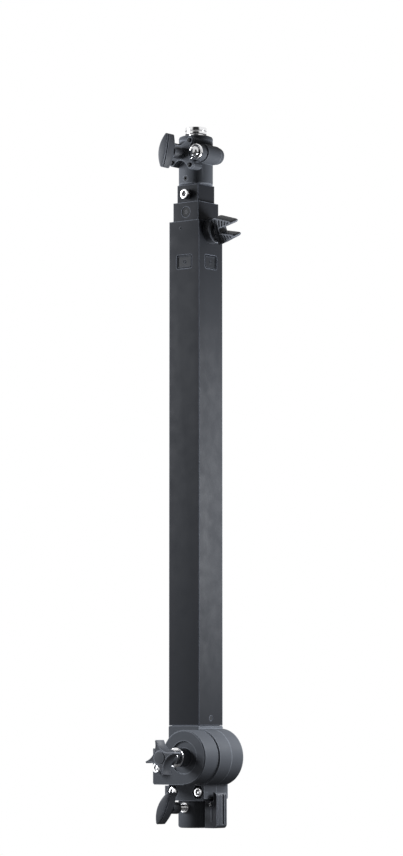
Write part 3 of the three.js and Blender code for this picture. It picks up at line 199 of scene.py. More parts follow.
def shell(rings, wrap=False):
    """A closed skin over a stack of closed rings; the first and the last are capped unless the stack wraps
    round."""
    count, around = rings.shape[:2]
    index = np.arange(count * around).reshape(count, around)
    caps = [] if wrap else [index[0][::-1].tolist(), index[-1].tolist()]
    if wrap:
        index = np.vstack([index, index[:1]])
    a, b = index[:-1], index[1:]
    quads = np.stack([a, np.roll(a, -1, 1), np.roll(b, -1, 1), b], -1).reshape(-1, 4)
    points = rings.reshape(-1, 3)
    corner = points[quads]
    volume = np.einsum("ij,ij->", corner[:, 0], np.cross(corner[:, 1], corner[:, 2]))
    volume += np.einsum("ij,ij->", corner[:, 0], np.cross(corner[:, 2], corner[:, 3]))
    for cap in caps:
        fan = points[cap]
        volume += np.einsum("ij,ij->", np.cross(fan[1:-1], fan[2:]), np.broadcast_to(fan[0], fan[2:].shape))
    if volume < 0:
        quads, caps = quads[:, ::-1], [cap[::-1] for cap in caps]
    return points, quads, caps


AXES = {"x": (2, 0, 1), "y": (0, 2, 1), "z": (0, 1, 2)}


def along(axis, flat, level):
    """Puts points (u, v) at a level w: (w, u, v) along x, (u, w, v) along y and (u, v, w) along z."""
    level = np.broadcast_to(level, flat.shape[:-1])
    return np.concatenate([flat, level[..., None]], -1)[..., AXES[axis]]


def turned(profile, axis, centre=(0.0, 0.0, 0.0), sides=64, wrap=False):
    """A profile of (radius r, distance w) turned round an axis: (r cos a, r sin a) at w."""
    radius, level = np.array(profile, float).T
    angle = np.linspace(0.0, 2 * np.pi, sides, endpoint=False)
    flat = radius[:, None, None] * np.stack([np.cos(angle), np.sin(angle)], -1)[None]
    return shell(along(axis, flat, level[:, None]) + np.array(centre), wrap)


def slab(outline, axis, low, high, edge):
    """An outline carried from one level to another with rounded edges: near each end it moves inwards by
    edge (1 - cos a) while the level moves by edge (1 - sin a)."""
    a = np.linspace(np.pi / 2, 0.0, 4)
    sink, step = edge * (1 - np.cos(a)), edge * (1 - np.sin(a))
    levels = np.concatenate([low + step, high - step[::-1]])
    sinks = np.concatenate([sink, sink[::-1]])
    rings = [along(axis, inward(outline, depth), level) for depth, level in zip(sinks, levels)]
    return shell(np.array(rings))


def rod(radius, start, end, edge=0.4, hollow=0.0):
    """The profile of a rod, or of a ring where it is hollow, with rounded edges."""
    corners = [(hollow, start), (radius, start), (radius, end), (hollow, end)]
    if hollow:
        return softened(corners, edge, 3)
    corners[0], corners[-1] = (CORE, start), (CORE, end)
    return softened(corners, edge, 3, closed=False)


def spin(shells, axis, angle):
    """Turns shells about one of the three axes, by the right-hand rule."""
    matrix = np.array(Matrix.Rotation(angle, 3, axis.upper()))
    return [(points @ matrix.T, quads, caps) for points, quads, caps in shells]


def moved(shells, offset):
    """Shells moved by an offset."""
    return [(points + np.array(offset), quads, caps) for points, quads, caps in shells]


def smooth(data):
    """Smooth shading that breaks at sharp edges; faces of many corners stay flat."""
    corners = np.zeros(len(data.polygons), np.int32)
    data.polygons.foreach_get("loop_total", corners)
    data.polygons.foreach_set("use_smooth", corners < FLAT_CORNERS)
    data.set_sharp_from_angle(angle=SHARP_ANGLE)


def make_piece(name, shells, body, slot, replaced=()):
    """Makes one object of several shells, with its doubles merged, and lets it ride on a CAD body."""
    starts = np.cumsum([0] + [len(points) for points, _, _ in shells])
    faces = []
    for start, (_, quads, caps) in zip(starts, shells):
        faces += (quads + start).tolist()
        faces += [[corner + int(start) for corner in cap] for cap in caps]
    data = bpy.data.meshes.new(name)
    data.from_pydata(np.concatenate([points for points, _, _ in shells]) * MM, [], faces)
    merged = bmesh.new()
    merged.from_mesh(data)
    bmesh.ops.remove_doubles(merged, verts=merged.verts, dist=SAME_POINT)
    bmesh.ops.dissolve_degenerate(merged, edges=merged.edges, dist=1e-8)
    merged.to_mesh(data)
    merged.free()
    smooth(data)
    data.materials.append(FINISHES[slot])
    piece = bpy.data.objects.new(name, data)
    bpy.context.scene.collection.objects.link(piece)
    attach(piece, body)
    if replaced:
        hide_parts(*replaced)


def shade_planes(solid):
    """Smooth shading for the narrow facets of round forms only. Faces in one plane are taken together; they
    stay flat where no gentle edge joins them to another plane, or where their area divided by the diagonal
    of the box round them is more than the widest facet."""
    same_plane, gentle = math.cos(SAME_PLANE_ANGLE), math.cos(SHARP_ANGLE)
    seen = set()
    for first in solid.faces:
        if first in seen:
            continue
        seen.add(first)
        plane, bends = [first], False
        for face in plane:
            for near in (other for edge in face.edges for other in edge.link_faces):
                turn = near.normal.dot(first.normal)
                bends = bends or gentle < turn < same_plane
                if near not in seen and turn > same_plane:
                    seen.add(near)
                    plane.append(near)
        points = np.array([corner.co for face in plane for corner in face.verts])
        area = sum(face.calc_area() for face in plane)
        narrow = area < WIDEST_FACET * np.linalg.norm(np.ptp(points, 0))
        for face in plane:
            face.smooth = bends and bool(narrow)


def refined(node, body, slot, edge, joined=False):
    """An outer skin: the CAD solid merged, its edges rounded by `edge` metres, its round faces shaded smooth;
    `joined` also joins the triangles of its planes, which the latch's narrow faces need. The normals that
    came with the CAD mesh are dropped, because they belong to its unmerged corners."""
    merged = bmesh.new()
    merged.from_mesh(frame["nodes"][node].data)
    bmesh.ops.remove_doubles(merged, verts=merged.verts, dist=SAME_CAD_POINT)
    if joined:
        bmesh.ops.dissolve_limit(merged, angle_limit=JOINED_ANGLE, verts=merged.verts, edges=merged.edges)
    merged.normal_update()
    shade_planes(merged)
    data = bpy.data.meshes.new(node + "_skin")
    merged.to_mesh(data)
    merged.free()
    if "custom_normal" in data.attributes:
        data.attributes.remove(data.attributes["custom_normal"])
    data.set_sharp_from_angle(angle=SHARP_ANGLE)
    data.materials.append(FINISHES[slot])
    piece = bpy.data.objects.new(node + "_skin", data)
    bpy.context.scene.collection.objects.link(piece)
    round_off = piece.modifiers.new("round_off", "BEVEL")
    round_off.limit_method = "ANGLE"
    round_off.angle_limit = ROUNDED_ANGLE
    round_off.width = edge
    round_off.segments = 2
    round_off.harden_normals = True
    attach(piece, body)
    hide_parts(node)


FINISHES = {}


# Shader maths

class Field:
    """A shader socket: Python's operators on it add Math nodes."""

    def __init__(self, paint, socket):
        self.paint = paint
        self.socket = socket

    def _math(self, operation, first, second):
        return self.paint.node("Math", {"operation": operation}, (first, second))

    def __add__(self, other):
        return self._math("ADD", self, other)

    def __rsub__(self, other):
        return self._math("SUBTRACT", other, self)

    def __mul__(self, other):
        return self._math("MULTIPLY", self, other)


class Paint:
    """The nodes of a material, or of a world where one is given."""

    def __init__(self, name, world=None):
        self.material = world or bpy.data.materials.new(name)
        self.material.use_nodes = True
        self.tree = self.material.node_tree
        self.surface = self.tree.nodes["Background" if world else "Principled BSDF"]
        self.place = None if world else self.node("TexCoord", output="Object")

    def set(self, socket, value):
        """Links a field to a socket, or writes a plain value into it."""
        if isinstance(value, Field):
            self.tree.links.new(value.socket, socket)
        else:
            socket.default_value = value

    def node(self, kind, settings=None, inputs=(), output=0):
        """Makes any node from its type, its settings and its inputs, and gives one of its outputs."""
        made = self.tree.nodes.new("ShaderNode" + kind)
        for key, value in (settings or {}).items():
            if key == "stops":
                for stop, (position, shade) in zip(made.color_ramp.elements, value):
                    stop.position = position
                    stop.color = (shade, shade, shade, 1.0)
            else:
                setattr(made, key, value)
        for key, value in (inputs.items() if isinstance(inputs, dict) else enumerate(inputs)):
            self.set(made.inputs[key], value)
        return Field(self, made.outputs[output])

    def noise(self, scale, detail=2.0, roughness=0.5, stretch=None):
        """Noise from 0 to 1 whose lumps are about 1/scale metres across, drawn out where stretch says."""
        place = self.place
        if stretch:
            place = self.node("Mapping", None, {"Vector": place, "Scale": stretch})
        return self.node("TexNoise", None, {"Vector": place, "Scale": scale, "Detail": detail,
                                            "Roughness": roughness})

    def largest(self, first, second):
        """The larger of two values."""
        return self.node("Math", {"operation": "MAXIMUM"}, (first, second))

    def ramp(self, value, low, high, from_shade=0.0, to_shade=1.0):
        """A shade that runs from one value to another between two stops."""
        return self.node("ValToRGB", {"stops": ((low, from_shade), (high, to_shade))}, (value,))

    def mix(self, factor, first, second):
        """A colour between two colours."""
        return self.node("Mix", {"data_type": "RGBA"}, {0: factor, 6: first, 7: second}, output=2)

    def bump(self, height, distance, strength=1.0):
        """A normal that tilts as if the surface rose by a height from 0 to 1 times a distance in metres."""
        return self.node("Bump", None, {"Height": height, "Distance": distance, "Strength": strength})

    def edges(self, radius):
        """How far the surface's normal leaves the normal of the same surface with its edges rounded: 1 less
        the cosine between them, which is 0 away from the edges and up to about 0.3 on them."""
        rounded = self.node("Bevel", {"samples": 4}, {"Radius": radius})
        plain = self.node("NewGeometry", output="Normal")
        return 1.0 - self.node("VectorMath", {"operation": "DOT_PRODUCT"}, (rounded, plain), output="Value")

    def finish(self, **sockets):
        """Fills the surface's inputs and gives the material."""
        for name, value in sockets.items():
            self.set(self.surface.inputs[name.replace("_", " ").title().replace("Ior", "IOR")], value)
        return self.material


def shade(colour, factor):
    """A colour made lighter or darker, with its alpha."""
    return tuple(min(1.0, channel * factor) for channel in colour[:3]) + (1.0,)


def coat(name, colour, roughness, grain, grain_depth, fleck=0.0, drift=0.05, gloss=0.35, edge_highlight=0.0):
    """Painted metal or moulded plastic: a tint that drifts slowly, a fine grain in relief and light flecks,
    and a
    painted highlight: the colour is painted the given number of times lighter along the edges, where light
    would catch them."""
    paint = Paint(name)
    slow = paint.noise(14.0, 3.0)
    tint = paint.mix(slow, shade(colour, 1.0 - drift), shade(colour, 1.0 + drift))
    paint.surface.inputs["Specular IOR Level"].default_value = gloss
    fine = paint.noise(1.0 / grain, 3.0, 0.6)
    if fleck:
        specks = paint.ramp(fine, *FLECK_STOPS)
        tint = paint.mix(specks * fleck, tint, shade(colour, FLECK_SHADE))
    # Painted highlight: the colour is made lighter along the edges, as if light caught them
    if edge_highlight:
        highlight_mask = paint.ramp(paint.edges(EDGE_HIGHLIGHT_REACH), *EDGE_HIGHLIGHT_STOPS)
        tint = paint.mix(highlight_mask, tint, shade(colour, edge_highlight))
    polish = paint.ramp(paint.noise(60.0, 2.0), 0.3, 0.7, roughness - 0.05, roughness + 0.05)
    return paint.finish(base_color=tint, roughness=polish, normal=paint.bump(fine, grain_depth))


def plated(name, colour, roughness, brushed=None):
    """Bare or plated metal: a clean tint, faint smears in its gloss and a very fine relief, drawn out into
    lines where `brushed` says."""
    paint = Paint(name)
    smear = paint.noise(90.0, 4.0)
    tint = paint.mix(smear, shade(colour, 0.94), shade(colour, 1.0))
    polish = paint.ramp(smear, 0.3, 0.75, roughness * 0.8, roughness * 1.3)
    lines = paint.noise(700.0, 2.0, 0.5, brushed)
    paint.surface.inputs["Metallic"].default_value = 1.0
    return paint.finish(base_color=tint, roughness=polish, normal=paint.bump(lines, 0.00001, 0.4))


def make_finishes(colours):
    """One material for each material slot of the record."""
    # The last number of a coat, where it is given, paints a highlight along its edges that many times lighter
    return {
        "tube": coat("tube_powder_coat", colours.tube, roughness=0.50, grain=0.0007, grain_depth=0.00004,
                     fleck=0.06, drift=0.03, gloss=0.06, edge_highlight=9.0),
        "casting": coat("casting_textured_paint", colours.casting, roughness=0.56, grain=0.0010,
                        grain_depth=0.00014, fleck=0.30, drift=0.04, gloss=0.05, edge_highlight=3.0),
        "black_plastic": coat("moulded_nylon", colours.plastic, roughness=0.45, grain=0.0005,
                              grain_depth=0.00004, drift=0.04, gloss=0.12, edge_highlight=3.5),
        "grey_plastic": coat("dark_acetal", colours.bearing, roughness=0.5, grain=0.0006,
                             grain_depth=0.00003, gloss=0.1),
        "glide_plastic": coat("glide_acetal", colours.glide, roughness=0.46, grain=0.0006,
                              grain_depth=0.00003, gloss=0.1, edge_highlight=2.5),
        "chrome": plated("polished_chrome", colours.chrome, roughness=0.08),
        "steel": plated("zinc_plate", colours.zinc, roughness=0.22),
        "black_steel": coat("blackened_steel", colours.blackened, roughness=0.42, grain=0.0004,
                            grain_depth=0.00001, gloss=0.12),
        "spring_steel": plated("spring_steel", colours.zinc, roughness=0.3, brushed=(1.0, 1.0, 0.05)),
        "bronze": plated("sintered_bronze", colours.bronze, roughness=0.4),
        "lining": coat("friction_lining", colours.lining, roughness=0.9, grain=0.0012, grain_depth=0.0001,
                       fleck=0.3),
    }


# Stage

# Each lamp: name, degrees round from the camera, distance from the axis, height, size and power
LAMPS = (
    ("left_box", -90.0, 1.3, -0.10, (0.35, 0.8), 28.0),
    ("low_box", -86.0, 1.2, -1.0, (0.25, 0.35), 2.4),
    ("right_box", 94.0, 0.5, -0.47, (0.2, 0.45), 8.0),
)
LAMP_TINT = (0.93, 0.96, 1.0)


def point_camera(settings):
    """The camera stands at the photograph's angle and looks slightly up at the post."""
    low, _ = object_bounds()
    turn = settings.azimuth
    forward = Vector((-math.sin(turn), math.cos(turn), 0.0))
    right = Vector((math.cos(turn), math.sin(turn), 0.0))
    data = bpy.data.cameras.new("camera")
    data.sensor_fit = "VERTICAL"
    data.sensor_height = 36.0
    data.lens = settings.lens
    data.clip_end = 100.0
    camera = bpy.data.objects.new("camera", data)
    bpy.context.scene.collection.objects.link(camera)
    camera.location = -forward * settings.distance + Vector((0.0, 0.0, low.z + settings.height))
    target = right * settings.offset + Vector((0.0, 0.0, low.z + settings.aim))
    camera.rotation_euler = (target - camera.location).to_track_quat("-Z", "Y").to_euler()
    bpy.context.scene.camera = camera


def soft_box(name, azimuth, distance, height, size, power):
    """An upright rectangular lamp that faces the post's axis."""
    data = bpy.data.lights.new(name, "AREA")
    data.shape = "RECTANGLE"
    data.size, data.size_y = size
    data.energy = power
    data.color = LAMP_TINT
    lamp = bpy.data.objects.new(name, data)
    bpy.context.scene.collection.objects.link(lamp)
    lamp.location = (math.sin(azimuth) * distance, -math.cos(azimuth) * distance, height)
    inwards = Vector((-math.sin(azimuth), math.cos(azimuth), 0.0))
    lamp.rotation_euler = inwards.to_track_quat("-Z", "Y").to_euler()


def light_world(azimuth):
    """White to the camera; in reflections white behind and beside the post and dark in front of it, where
    the room lies; a plain low level for everything else."""
    world = bpy.data.worlds.new("world")
    bpy.context.scene.world = world
    paint = Paint("room", world)
    seen, passed, mirrored = [paint.node("LightPath", output=output)
                              for output in ("Is Camera Ray", "Is Transmission Ray", "Is Glossy Ray")]
    way = paint.node("TexCoord", output="Generated")
    ahead = paint.node("VectorMath", {"operation": "DOT_PRODUCT"},
                       (way, (math.sin(azimuth), -math.cos(azimuth), 0.0)), output="Value")
    white, dark, plain = 0.95, 0.03, 0.05
    white_until, dark_from = 0.86, 0.94
    room = paint.ramp(ahead * 0.5 + 0.5, white_until, dark_from, white, dark)
    strength = paint.node("Mix", {"data_type": "FLOAT"}, {0: mirrored, 2: plain, 3: room})
    paint.set(paint.surface.inputs["Strength"], paint.largest(paint.largest(seen, passed), strength))
    paint.surface.inputs["Color"].default_value = (1.0, 1.0, 1.0, 1.0)


def lay_floor():
    """A pale floor far below the hanging post."""
    paint = Paint("floor_paint")
    cloudy = paint.noise(0.6, 2.0)
    pale = paint.mix(cloudy, (0.86, 0.86, 0.87, 1.0), (0.90, 0.90, 0.90, 1.0))
    finish = paint.finish(base_color=pale, roughness=0.9)
    half, height = 30.0, -2.6
    corners = [(-half, -half, height), (half, -half, height), (half, half, height), (-half, half, height)]
    data = bpy.data.meshes.new("floor")
    data.from_pydata(corners, [], [(0, 1, 2, 3)])
    data.materials.append(finish)
    floor = bpy.data.objects.new("floor", data)
    bpy.context.scene.collection.objects.link(floor)
    floor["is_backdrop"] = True


# Places on the post in millimetres, from the frame's own boxes

def lowest(node):
    """Lowest level of a CAD node, in millimetres."""
    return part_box(node)[0].z / MM


def middle(node):
    """Middle of a CAD node's box, in millimetres."""
    low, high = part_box(node)
    return np.array((low + high) / 2) / MM


# The pieces

def stepped(outline, axis, steps):
    """An outline carried through (inset, level) steps, each being the outline moved inwards by its inset."""
    return shell(np.array([along(axis, inward(outline, inset), level) for inset, level in steps]))


def bevelled(corners, reach, axis, steps):
    """A cornered outline carried through (inset, level) steps: its corners are moved inwards by the inset
    first and rounded afterwards, so that a deep step doesn't cross itself."""
    corners, reach = np.array(corners, float), np.array(np.broadcast_to(reach, len(corners)), float)
    rings = [softened(inward(corners, inset), np.maximum(reach - 0.7 * inset, 0.2), 5) for inset, _ in steps]
    return shell(np.array([along(axis, ring, level) for ring, (_, level) in zip(rings, steps)]))


def bar(reach):
    """The T-knob's grip: sections along Z whose half width is w = 5.8 - 4.6 s^2 and whose front lies at
    -69.4 - reach + 3.6 s^2, s being the share of the half length, less what its rounded ends take. A groove
    runs behind the front face's edge."""
    half, edge = 22.2, 0.9
    end = np.linspace(0.0, np.pi / 2, 5)
    tip = half - edge * (1 - np.sin(end))
    sink = edge * (1 - np.cos(end))
    z = np.concatenate([-tip[::-1], np.linspace(-half + edge, half - edge, 27)[1:-1], tip])
    sink = np.concatenate([sink[::-1], np.zeros(25), sink])
    s = np.abs(z) / half
    wide = (5.8 - 4.6 * s ** 2 - 0.9 * sink)[:, None]
    front = (-69.4 - reach + 3.6 * s ** 2 + sink)[:, None]
    back = (-49.1 - reach - 1.5 * s - sink)[:, None]
    u = np.array([0.0, 0.3, 0.6, 0.8])
    groove = np.minimum(1.5, 0.5 * wide)
    across = [wide * u, wide * 0.88, wide * 0.97, wide, wide, wide - groove, wide - groove, wide, wide * 1.02,
              wide * 0.97, wide * 0.85, wide * 0.5, wide * 0.0]
    deep = [front - 0.3 * (1 - u ** 2), front, front + 0.2, front + 0.7, front + 2.0, front + 2.3,
            front + 3.9, front + 4.2, (front + back) / 2 + 2, back - 1.4, back - 0.3, back, back]
    across, deep = np.concatenate(across, 1), np.concatenate(deep, 1)
    across = np.concatenate([across, -across[:, -2:0:-1]], 1)
    deep = np.concatenate([deep, deep[:, -2:0:-1]], 1)
    return shell(np.stack([across, deep, np.broadcast_to(z[:, None], deep.shape)], -1))


def sizes():
    """The sizes that a user may change."""
    return bpy.context.scene.post_sizes


def threaded(start, end, radius):
    """A screw thread as a profile: the radius swings between crest and root once for every pitch."""
    depth, pitch = sizes().thread_depth / MM, sizes().thread_pitch / MM
    turns = int(abs(end - start) / pitch)
    levels = np.linspace(start, end, 2 * turns + 1)
    radii = radius - depth * (np.arange(2 * turns + 1) % 2)
    return [(CORE, start)] + list(zip(radii, levels)) + [(CORE, end)]


def t_knob(prefix, body, tilt, reach, face, thread):
    """The T-knob's bar and hub, the stud with its thread and pad, and the chrome washer on the face."""
    height = middle(prefix + "_t_washer")[2]
    hub_end = face - T_WASHER_FRONT - thread
    root = -50.5 - reach
    hub = turned(softened([(CORE, root), (7.6, root), (7.3, root + 3.0), (7.7, hub_end - 1.0), (7.7, hub_end),
                           (CORE, hub_end)], [0, 0.3, 1.2, 0.5, 0.8, 0], 4, closed=False), "y", sides=48)
    grip = spin([bar(reach), hub], "y", tilt)
    make_piece(prefix + "_t_grip", moved(grip, (0, 0, height)), body, "black_plastic", [prefix + "_t_knob"])
    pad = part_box(prefix + "_t_screw")[1].y / MM
    stud = [turned(threaded(-54.0 - reach, face + 1.0, 4.0), "y", sides=32),
            turned(rod(3.9, face + 0.5, pad - 3.9), "y", sides=32),
            turned(rod(5.4, pad - 4.0, pad), "y", sides=32)]
    make_piece(prefix + "_t_stud", moved(stud, (0, 0, height)), body, "steel", [prefix + "_t_screw"])
    profile = rod(6.6, face - T_WASHER_FRONT, face - 0.3, 0.6, 4.3)
    washer = turned(profile, "y", (0, 0, height), 48, wrap=True)
    carrier = "head" if prefix == "top" else "outer"
    make_piece(prefix + "_t_disc", [washer], carrier, "chrome", [prefix + "_t_washer"])


def star_outline(tip, end, hollow):
    """A star: arcs of radius `end` round its points, joined by arcs about centres at radius `hollow`."""
    reach = tip - end
    half = np.pi / STAR_POINTS
    c = hollow * np.exp(1j * half)
    radius = abs(c - reach) - end
    lean = np.angle(c - reach)
    point = reach + end * np.exp(1j * np.linspace(-lean, lean, 9))
    dip = c + radius * np.exp(1j * np.linspace(lean - np.pi, 2 * half - lean - np.pi, 14)[1:-1])
    arm = np.concatenate([point, dip])
    whole = (arm[None] * np.exp(2j * half * np.arange(STAR_POINTS))[:, None]).reshape(-1)
    return np.stack([whole.real, whole.imag], 1)


def star_knob():
    """The brake's star knob: its front has a rim, with a round cap in the middle. A hub with a step leads
    back to the washer, and a chrome band goes round that step."""
    low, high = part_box("brake_knob")
    x, _, z = middle("brake_washer")
    front, hub_end = low.y / MM + 2.0, high.y / MM
    back = front + 16.4
    outline = star_outline(tip=23.1, end=1.5, hollow=31.5)
    star = stepped(outline, "y", [(0.9, back), (0.25, back - 0.3), (0.0, back - 0.9), (0.0, front + 0.9),
                                  (0.2, front + 0.3), (0.8, front), (1.1, front), (1.3, front + 0.5)])
    cap = turned(softened([(CORE, front - 0.9), (8.2, front - 0.6), (9.0, front + 1.0), (CORE, front + 3.0)],
                          [0, 0.6, 0.3, 0], 5, closed=False), "y", sides=64)
    hub = turned(softened([(CORE, back - 2), (10.0, back - 2), (10.0, hub_end - 7.5), (9.2, hub_end - 7.0),
                           (9.2, hub_end), (CORE, hub_end)], 0.5, 3, closed=False), "y", sides=64)
    knob = moved(spin([star, cap, hub], "y", STAR_TILT), (x, 0, z))
    make_piece("brake_star", knob, "brake_knob", "black_plastic", ["brake_knob"])
    band = turned(rod(10.2, hub_end - 8.6, hub_end - 6.8, 0.5, 9.0), "y", (x, 0, z), 64, wrap=True)
    make_piece("brake_band", [band], "brake_knob", "chrome")


def wing_corners():
    """The forked wing seen from its side, as (distance out, height) and how far each corner is rounded: wide
    at the root, two tips and a notch."""
    upper = [(0.0, 3.0), (0.0, 18.0), (4.5, 18.0), (26.5, 11.2), (WING_REACH, 9.0), (26.5, 6.8), (7.2, 3.0)]
    lower = [(x, -z) for x, z in upper[::-1]]
    reach = [1.5, 3.0, 2.0, 1.4, 1.2, 1.4, 1.0]
    return upper + lower, reach + reach[::-1]


def wing_knob():
    """The clamp's wing knob: the fork with a pocket in each side and slanting ribs across the pockets."""
    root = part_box("clamp_boss")[1].x / MM
    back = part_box("clamp_knob")[1].x / MM - WING_REACH
    corners, reach = wing_corners()
    half = 8.4
    rim = [(0.8, 0.0), (0.2, 0.25), (0.0, 0.8)]
    pocket = [(1.3, 0.0), (1.7, 0.35), (1.8, 1.1)]
    steps = [(inset, -half + step) for inset, step in pocket[::-1] + rim]
    steps += [(inset, -level) for inset, level in steps[::-1]]
    fork = bevelled(corners, reach, "y", steps)
    ribs = []
    wide = sizes().rib_width / MM / 2
    for sign in (-1, 1):
        for out in (6.0, 10.5, 15.0, 19.5):
            slope = 18.0 - 0.31 * (out - 4.5)
            strip = np.array([(out - wide, 0.35 * out), (out + wide, 0.35 * out),
                              (out + 2.0 + wide, slope - 2.6), (out + 2.0 - wide, slope - 2.4)]) * (1, sign)
            ribs.append(slab(strip, "y", -half + 0.2, half - 0.2, 0.25))
    hub = turned(rod(6.2, root + 1.8, back + 2.0), "x", sides=40)
    shells = moved([fork] + ribs, (back, 0, 0)) + [hub]
    shells = moved(spin(shells, "x", WING_TILT), (0, 0, middle("clamp_boss")[2]))
    make_piece("clamp_wing", shells, "clamp_knob", "black_plastic", ["clamp_knob"])


def clamp_boss():
    """The round boss that the clamp's screw runs in, with its raised rim, and the washer before it."""
    low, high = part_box("clamp_boss")
    base, front, height = low.x / MM, high.x / MM, middle("clamp_boss")[2]
    profile = softened([(4.5, base), (17.0, base), (17.0, front), (13.6, front), (12.6, front - 3.0),
                        (4.5, front - 3.0)], [0.1, 0.4, 1.4, 0.8, 0.6, 0.1], 4)
    make_piece("clamp_hub", [turned(profile, "x", (0, 0, height), 72, wrap=True)], "outer", "black_plastic",
               ["clamp_boss"])
    low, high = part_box("clamp_washer")
    disc = rod(8.0, low.x / MM, high.x / MM, 0.5, 4.5)
    make_piece("clamp_disc", [turned(disc, "x", (0, 0, height), 56, wrap=True)], "outer", "chrome",
               ["clamp_washer"])


def spigot():
    """The hanging spigot: a collar of two rings, a thin neck, and the shank with its waist in the socket."""
    low = lowest("spigot")
    waist = middle("top_t_washer")[2]
    corners = [(CORE, 0.0), (14.2, 0.0), (14.2, -4.6), (13.3, -5.0), (13.3, -5.5), (14.2, -5.9), (14.2, -9.0),
               (11.0, -9.2), (11.0, -12.2), (13.9, -13.0), (13.9, waist + 8.0), (11.2, waist + 5.2),
               (11.2, waist - 8.0), (13.9, waist - 10.8), (13.9, low + 1.0), (12.9, low), (CORE, low)]
    make_piece("hanging_spigot", [turned(softened(corners, 0.45, 4, closed=False), "z", sides=96)], "spigot",
               "chrome", ["spigot"])


def cross_bolt():
    """The lock's chrome ring and its domed push button."""
    low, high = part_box("lock_ring")
    x, _, z = middle("lock_ring")
    ring = rod(10.6, low.y / MM, high.y / MM, 0.9, 7.4)
    make_piece("lock_collar", [turned(ring, "y", (x, 0, z), 72, wrap=True)], "head", "chrome", ["lock_ring"])
    low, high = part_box("lock_button")
    top, end = low.y / MM, high.y / MM
    dome = softened([(CORE, top), (3.6, top + 0.4), (6.0, top + 1.8), (6.85, top + 4.2), (6.85, end),
                     (CORE, end)], [0, 1.5, 1.5, 1.0, 0.3, 0], 5, closed=False)
    make_piece("lock_cap", [turned(dome, "y", (x, 0, z), 64)], "lock_button", "steel", ["lock_button"])


def hex_ring(radius, steps):
    """A circle's points drawn onto a hexagon: the radius at angle a is r cos 30 / cos(a - nearest flat)."""
    a = np.linspace(0.0, 2 * np.pi, steps, endpoint=False)
    flat = np.mod(a, np.pi / 3) - np.pi / 6
    reach = radius * math.cos(math.pi / 6) / np.cos(flat)
    return np.stack([reach * np.cos(a), reach * np.sin(a)], 1)


def cap_screw(node, body, depth=2.0):
    """A socket-head screw: a head with a hexagon socket sunk `depth` millimetres in it and a plain shank."""
    low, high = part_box(node)
    x, _, z = middle(node)
    face, end = low.y / MM, high.y / MM
    steps = 48
    a = np.linspace(0.0, 2 * np.pi, steps, endpoint=False)
    circle = np.stack([np.cos(a), np.sin(a)], 1)
    hexagon = hex_ring(4.0, steps)
    rings = [(0.05 * circle, face + depth - 0.8), (0.7 * hexagon, face + depth - 0.5),
             (hexagon, face + depth), (hexagon, face + 0.5), (1.1 * hexagon, face + 0.05),
             (5.4 * circle, face), (6.2 * circle, face + 0.35), (6.5 * circle, face + 1.2),
             (6.5 * circle, face + 7.6), (6.1 * circle, face + 8.0), (4.0 * circle, face + 8.0),
             (4.0 * circle, end - 0.5), (3.5 * circle, end)]
    head = shell(np.array([along("y", flat, height) for flat, height in rings]))
    make_piece(node + "_head", moved([head], (x, 0, z)), body, "steel", [node])


def plate_screws():
    """The four domed screws of the front plate."""
    for n in range(1, 5):
        node = "plate_screw_%d" % n
        low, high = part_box(node)
        x, _, z = middle(node)
        face, end = low.y / MM, high.y / MM
        dome = softened([(CORE, face + 0.5), (1.0, face + 0.5), (1.3, face), (2.0, face + 0.2),
                         (2.75, face + 1.0), (2.75, face + 1.8), (1.5, face + 1.8), (1.5, end), (CORE, end)],
                        0.2, 3, closed=False)
        make_piece(node + "_head", [turned(dome, "y", (x, 0, z), 32)], "head", "black_steel", [node])


def glides():
    """The four glides: a block with a step below its rim, a sunk face and a dot, on a flange behind the
    tube's wall."""
    centre = middle("glide_front")[2]
    face, inside = 24.6, 21.5
    block = [(-12.1, -8.6), (12.1, -8.6), (12.1, 8.6), (-12.1, 8.6)]
    steps = [(0.0, -inside), (0.0, -face + 1.7), (0.9, -face + 1.7), (0.9, -face + 0.3), (1.2, -face),
             (1.8, -face), (2.0, -face + 0.4), (2.2, -face + 0.8), (2.8, -face + 0.8)]
    flange = softened([(-15.5, -12.0), (15.5, -12.0), (15.5, 12.0), (-15.5, 12.0)], 2.5, 4)
    dot = turned([(CORE, -face + 1.4), (1.5, -face + 1.4), (1.5, -face + 0.6), (1.9, -face + 0.3),
                  (2.4, -face + 0.6), (2.4, -face + 1.5), (CORE, -face + 1.6)], "y", sides=28)
    for side, turn in (("front", 0.0), ("right", 0.5), ("rear", 1.0), ("left", -0.5)):
        shells = [bevelled(block, 2.6, "y", steps), slab(flange, "y", -inside - 0.6, -inside, 0.15), dot]
        shells = moved(spin(shells, "z", turn * math.pi), (0, 0, centre))
        make_piece("glide_pad_" + side, shells, "outer", "glide_plastic", ["glide_" + side])


def brake_washer():
    """The chrome washer between the brake's boss and the star knob."""
    low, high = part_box("brake_washer")
    x, _, z = middle("brake_washer")
    profile = rod((high.x - low.x) / 2 / MM - 0.05, low.y / MM, high.y / MM, 0.7, 5.4)
    make_piece("brake_disc", [turned(profile, "y", (x, 0, z), 64, wrap=True)], "outer", "chrome",
               ["brake_washer"])


# Operators

class PostOperator:
    """What the operators share."""
    bl_options = {"REGISTER", "UNDO"}


class POST_OT_finishes(PostOperator, Operator):
    """Gives every CAD node the finish of its material slot"""
    bl_idname = "post.finishes"
    bl_label = "Finishes"

    def execute(self, context):
        FINISHES.update(make_finishes(context.scene.post_colours))
        for part in frame["record"]["subparts"]:
            data = frame["nodes"][part["node"]].data
            data.materials.clear()
            data.materials.append(FINISHES[part["material_slot"]])
        return {"FINISHED"}


class POST_OT_head(PostOperator, Operator):
    """Makes the spigot, the top socket with its plate and the cross-bolt lock"""
    bl_idname = "post.head"
    bl_label = "Head"

    def execute(self, context):
        spigot()
        refined("top_socket", "head", "casting", sizes().casting_edge)
        refined("top_plate", "head", "casting", sizes().casting_edge)
        cross_bolt()
        plate_screws()
        cap_screw("inner_tube_screw", "head", 5.0)
        return {"FINISHED"}


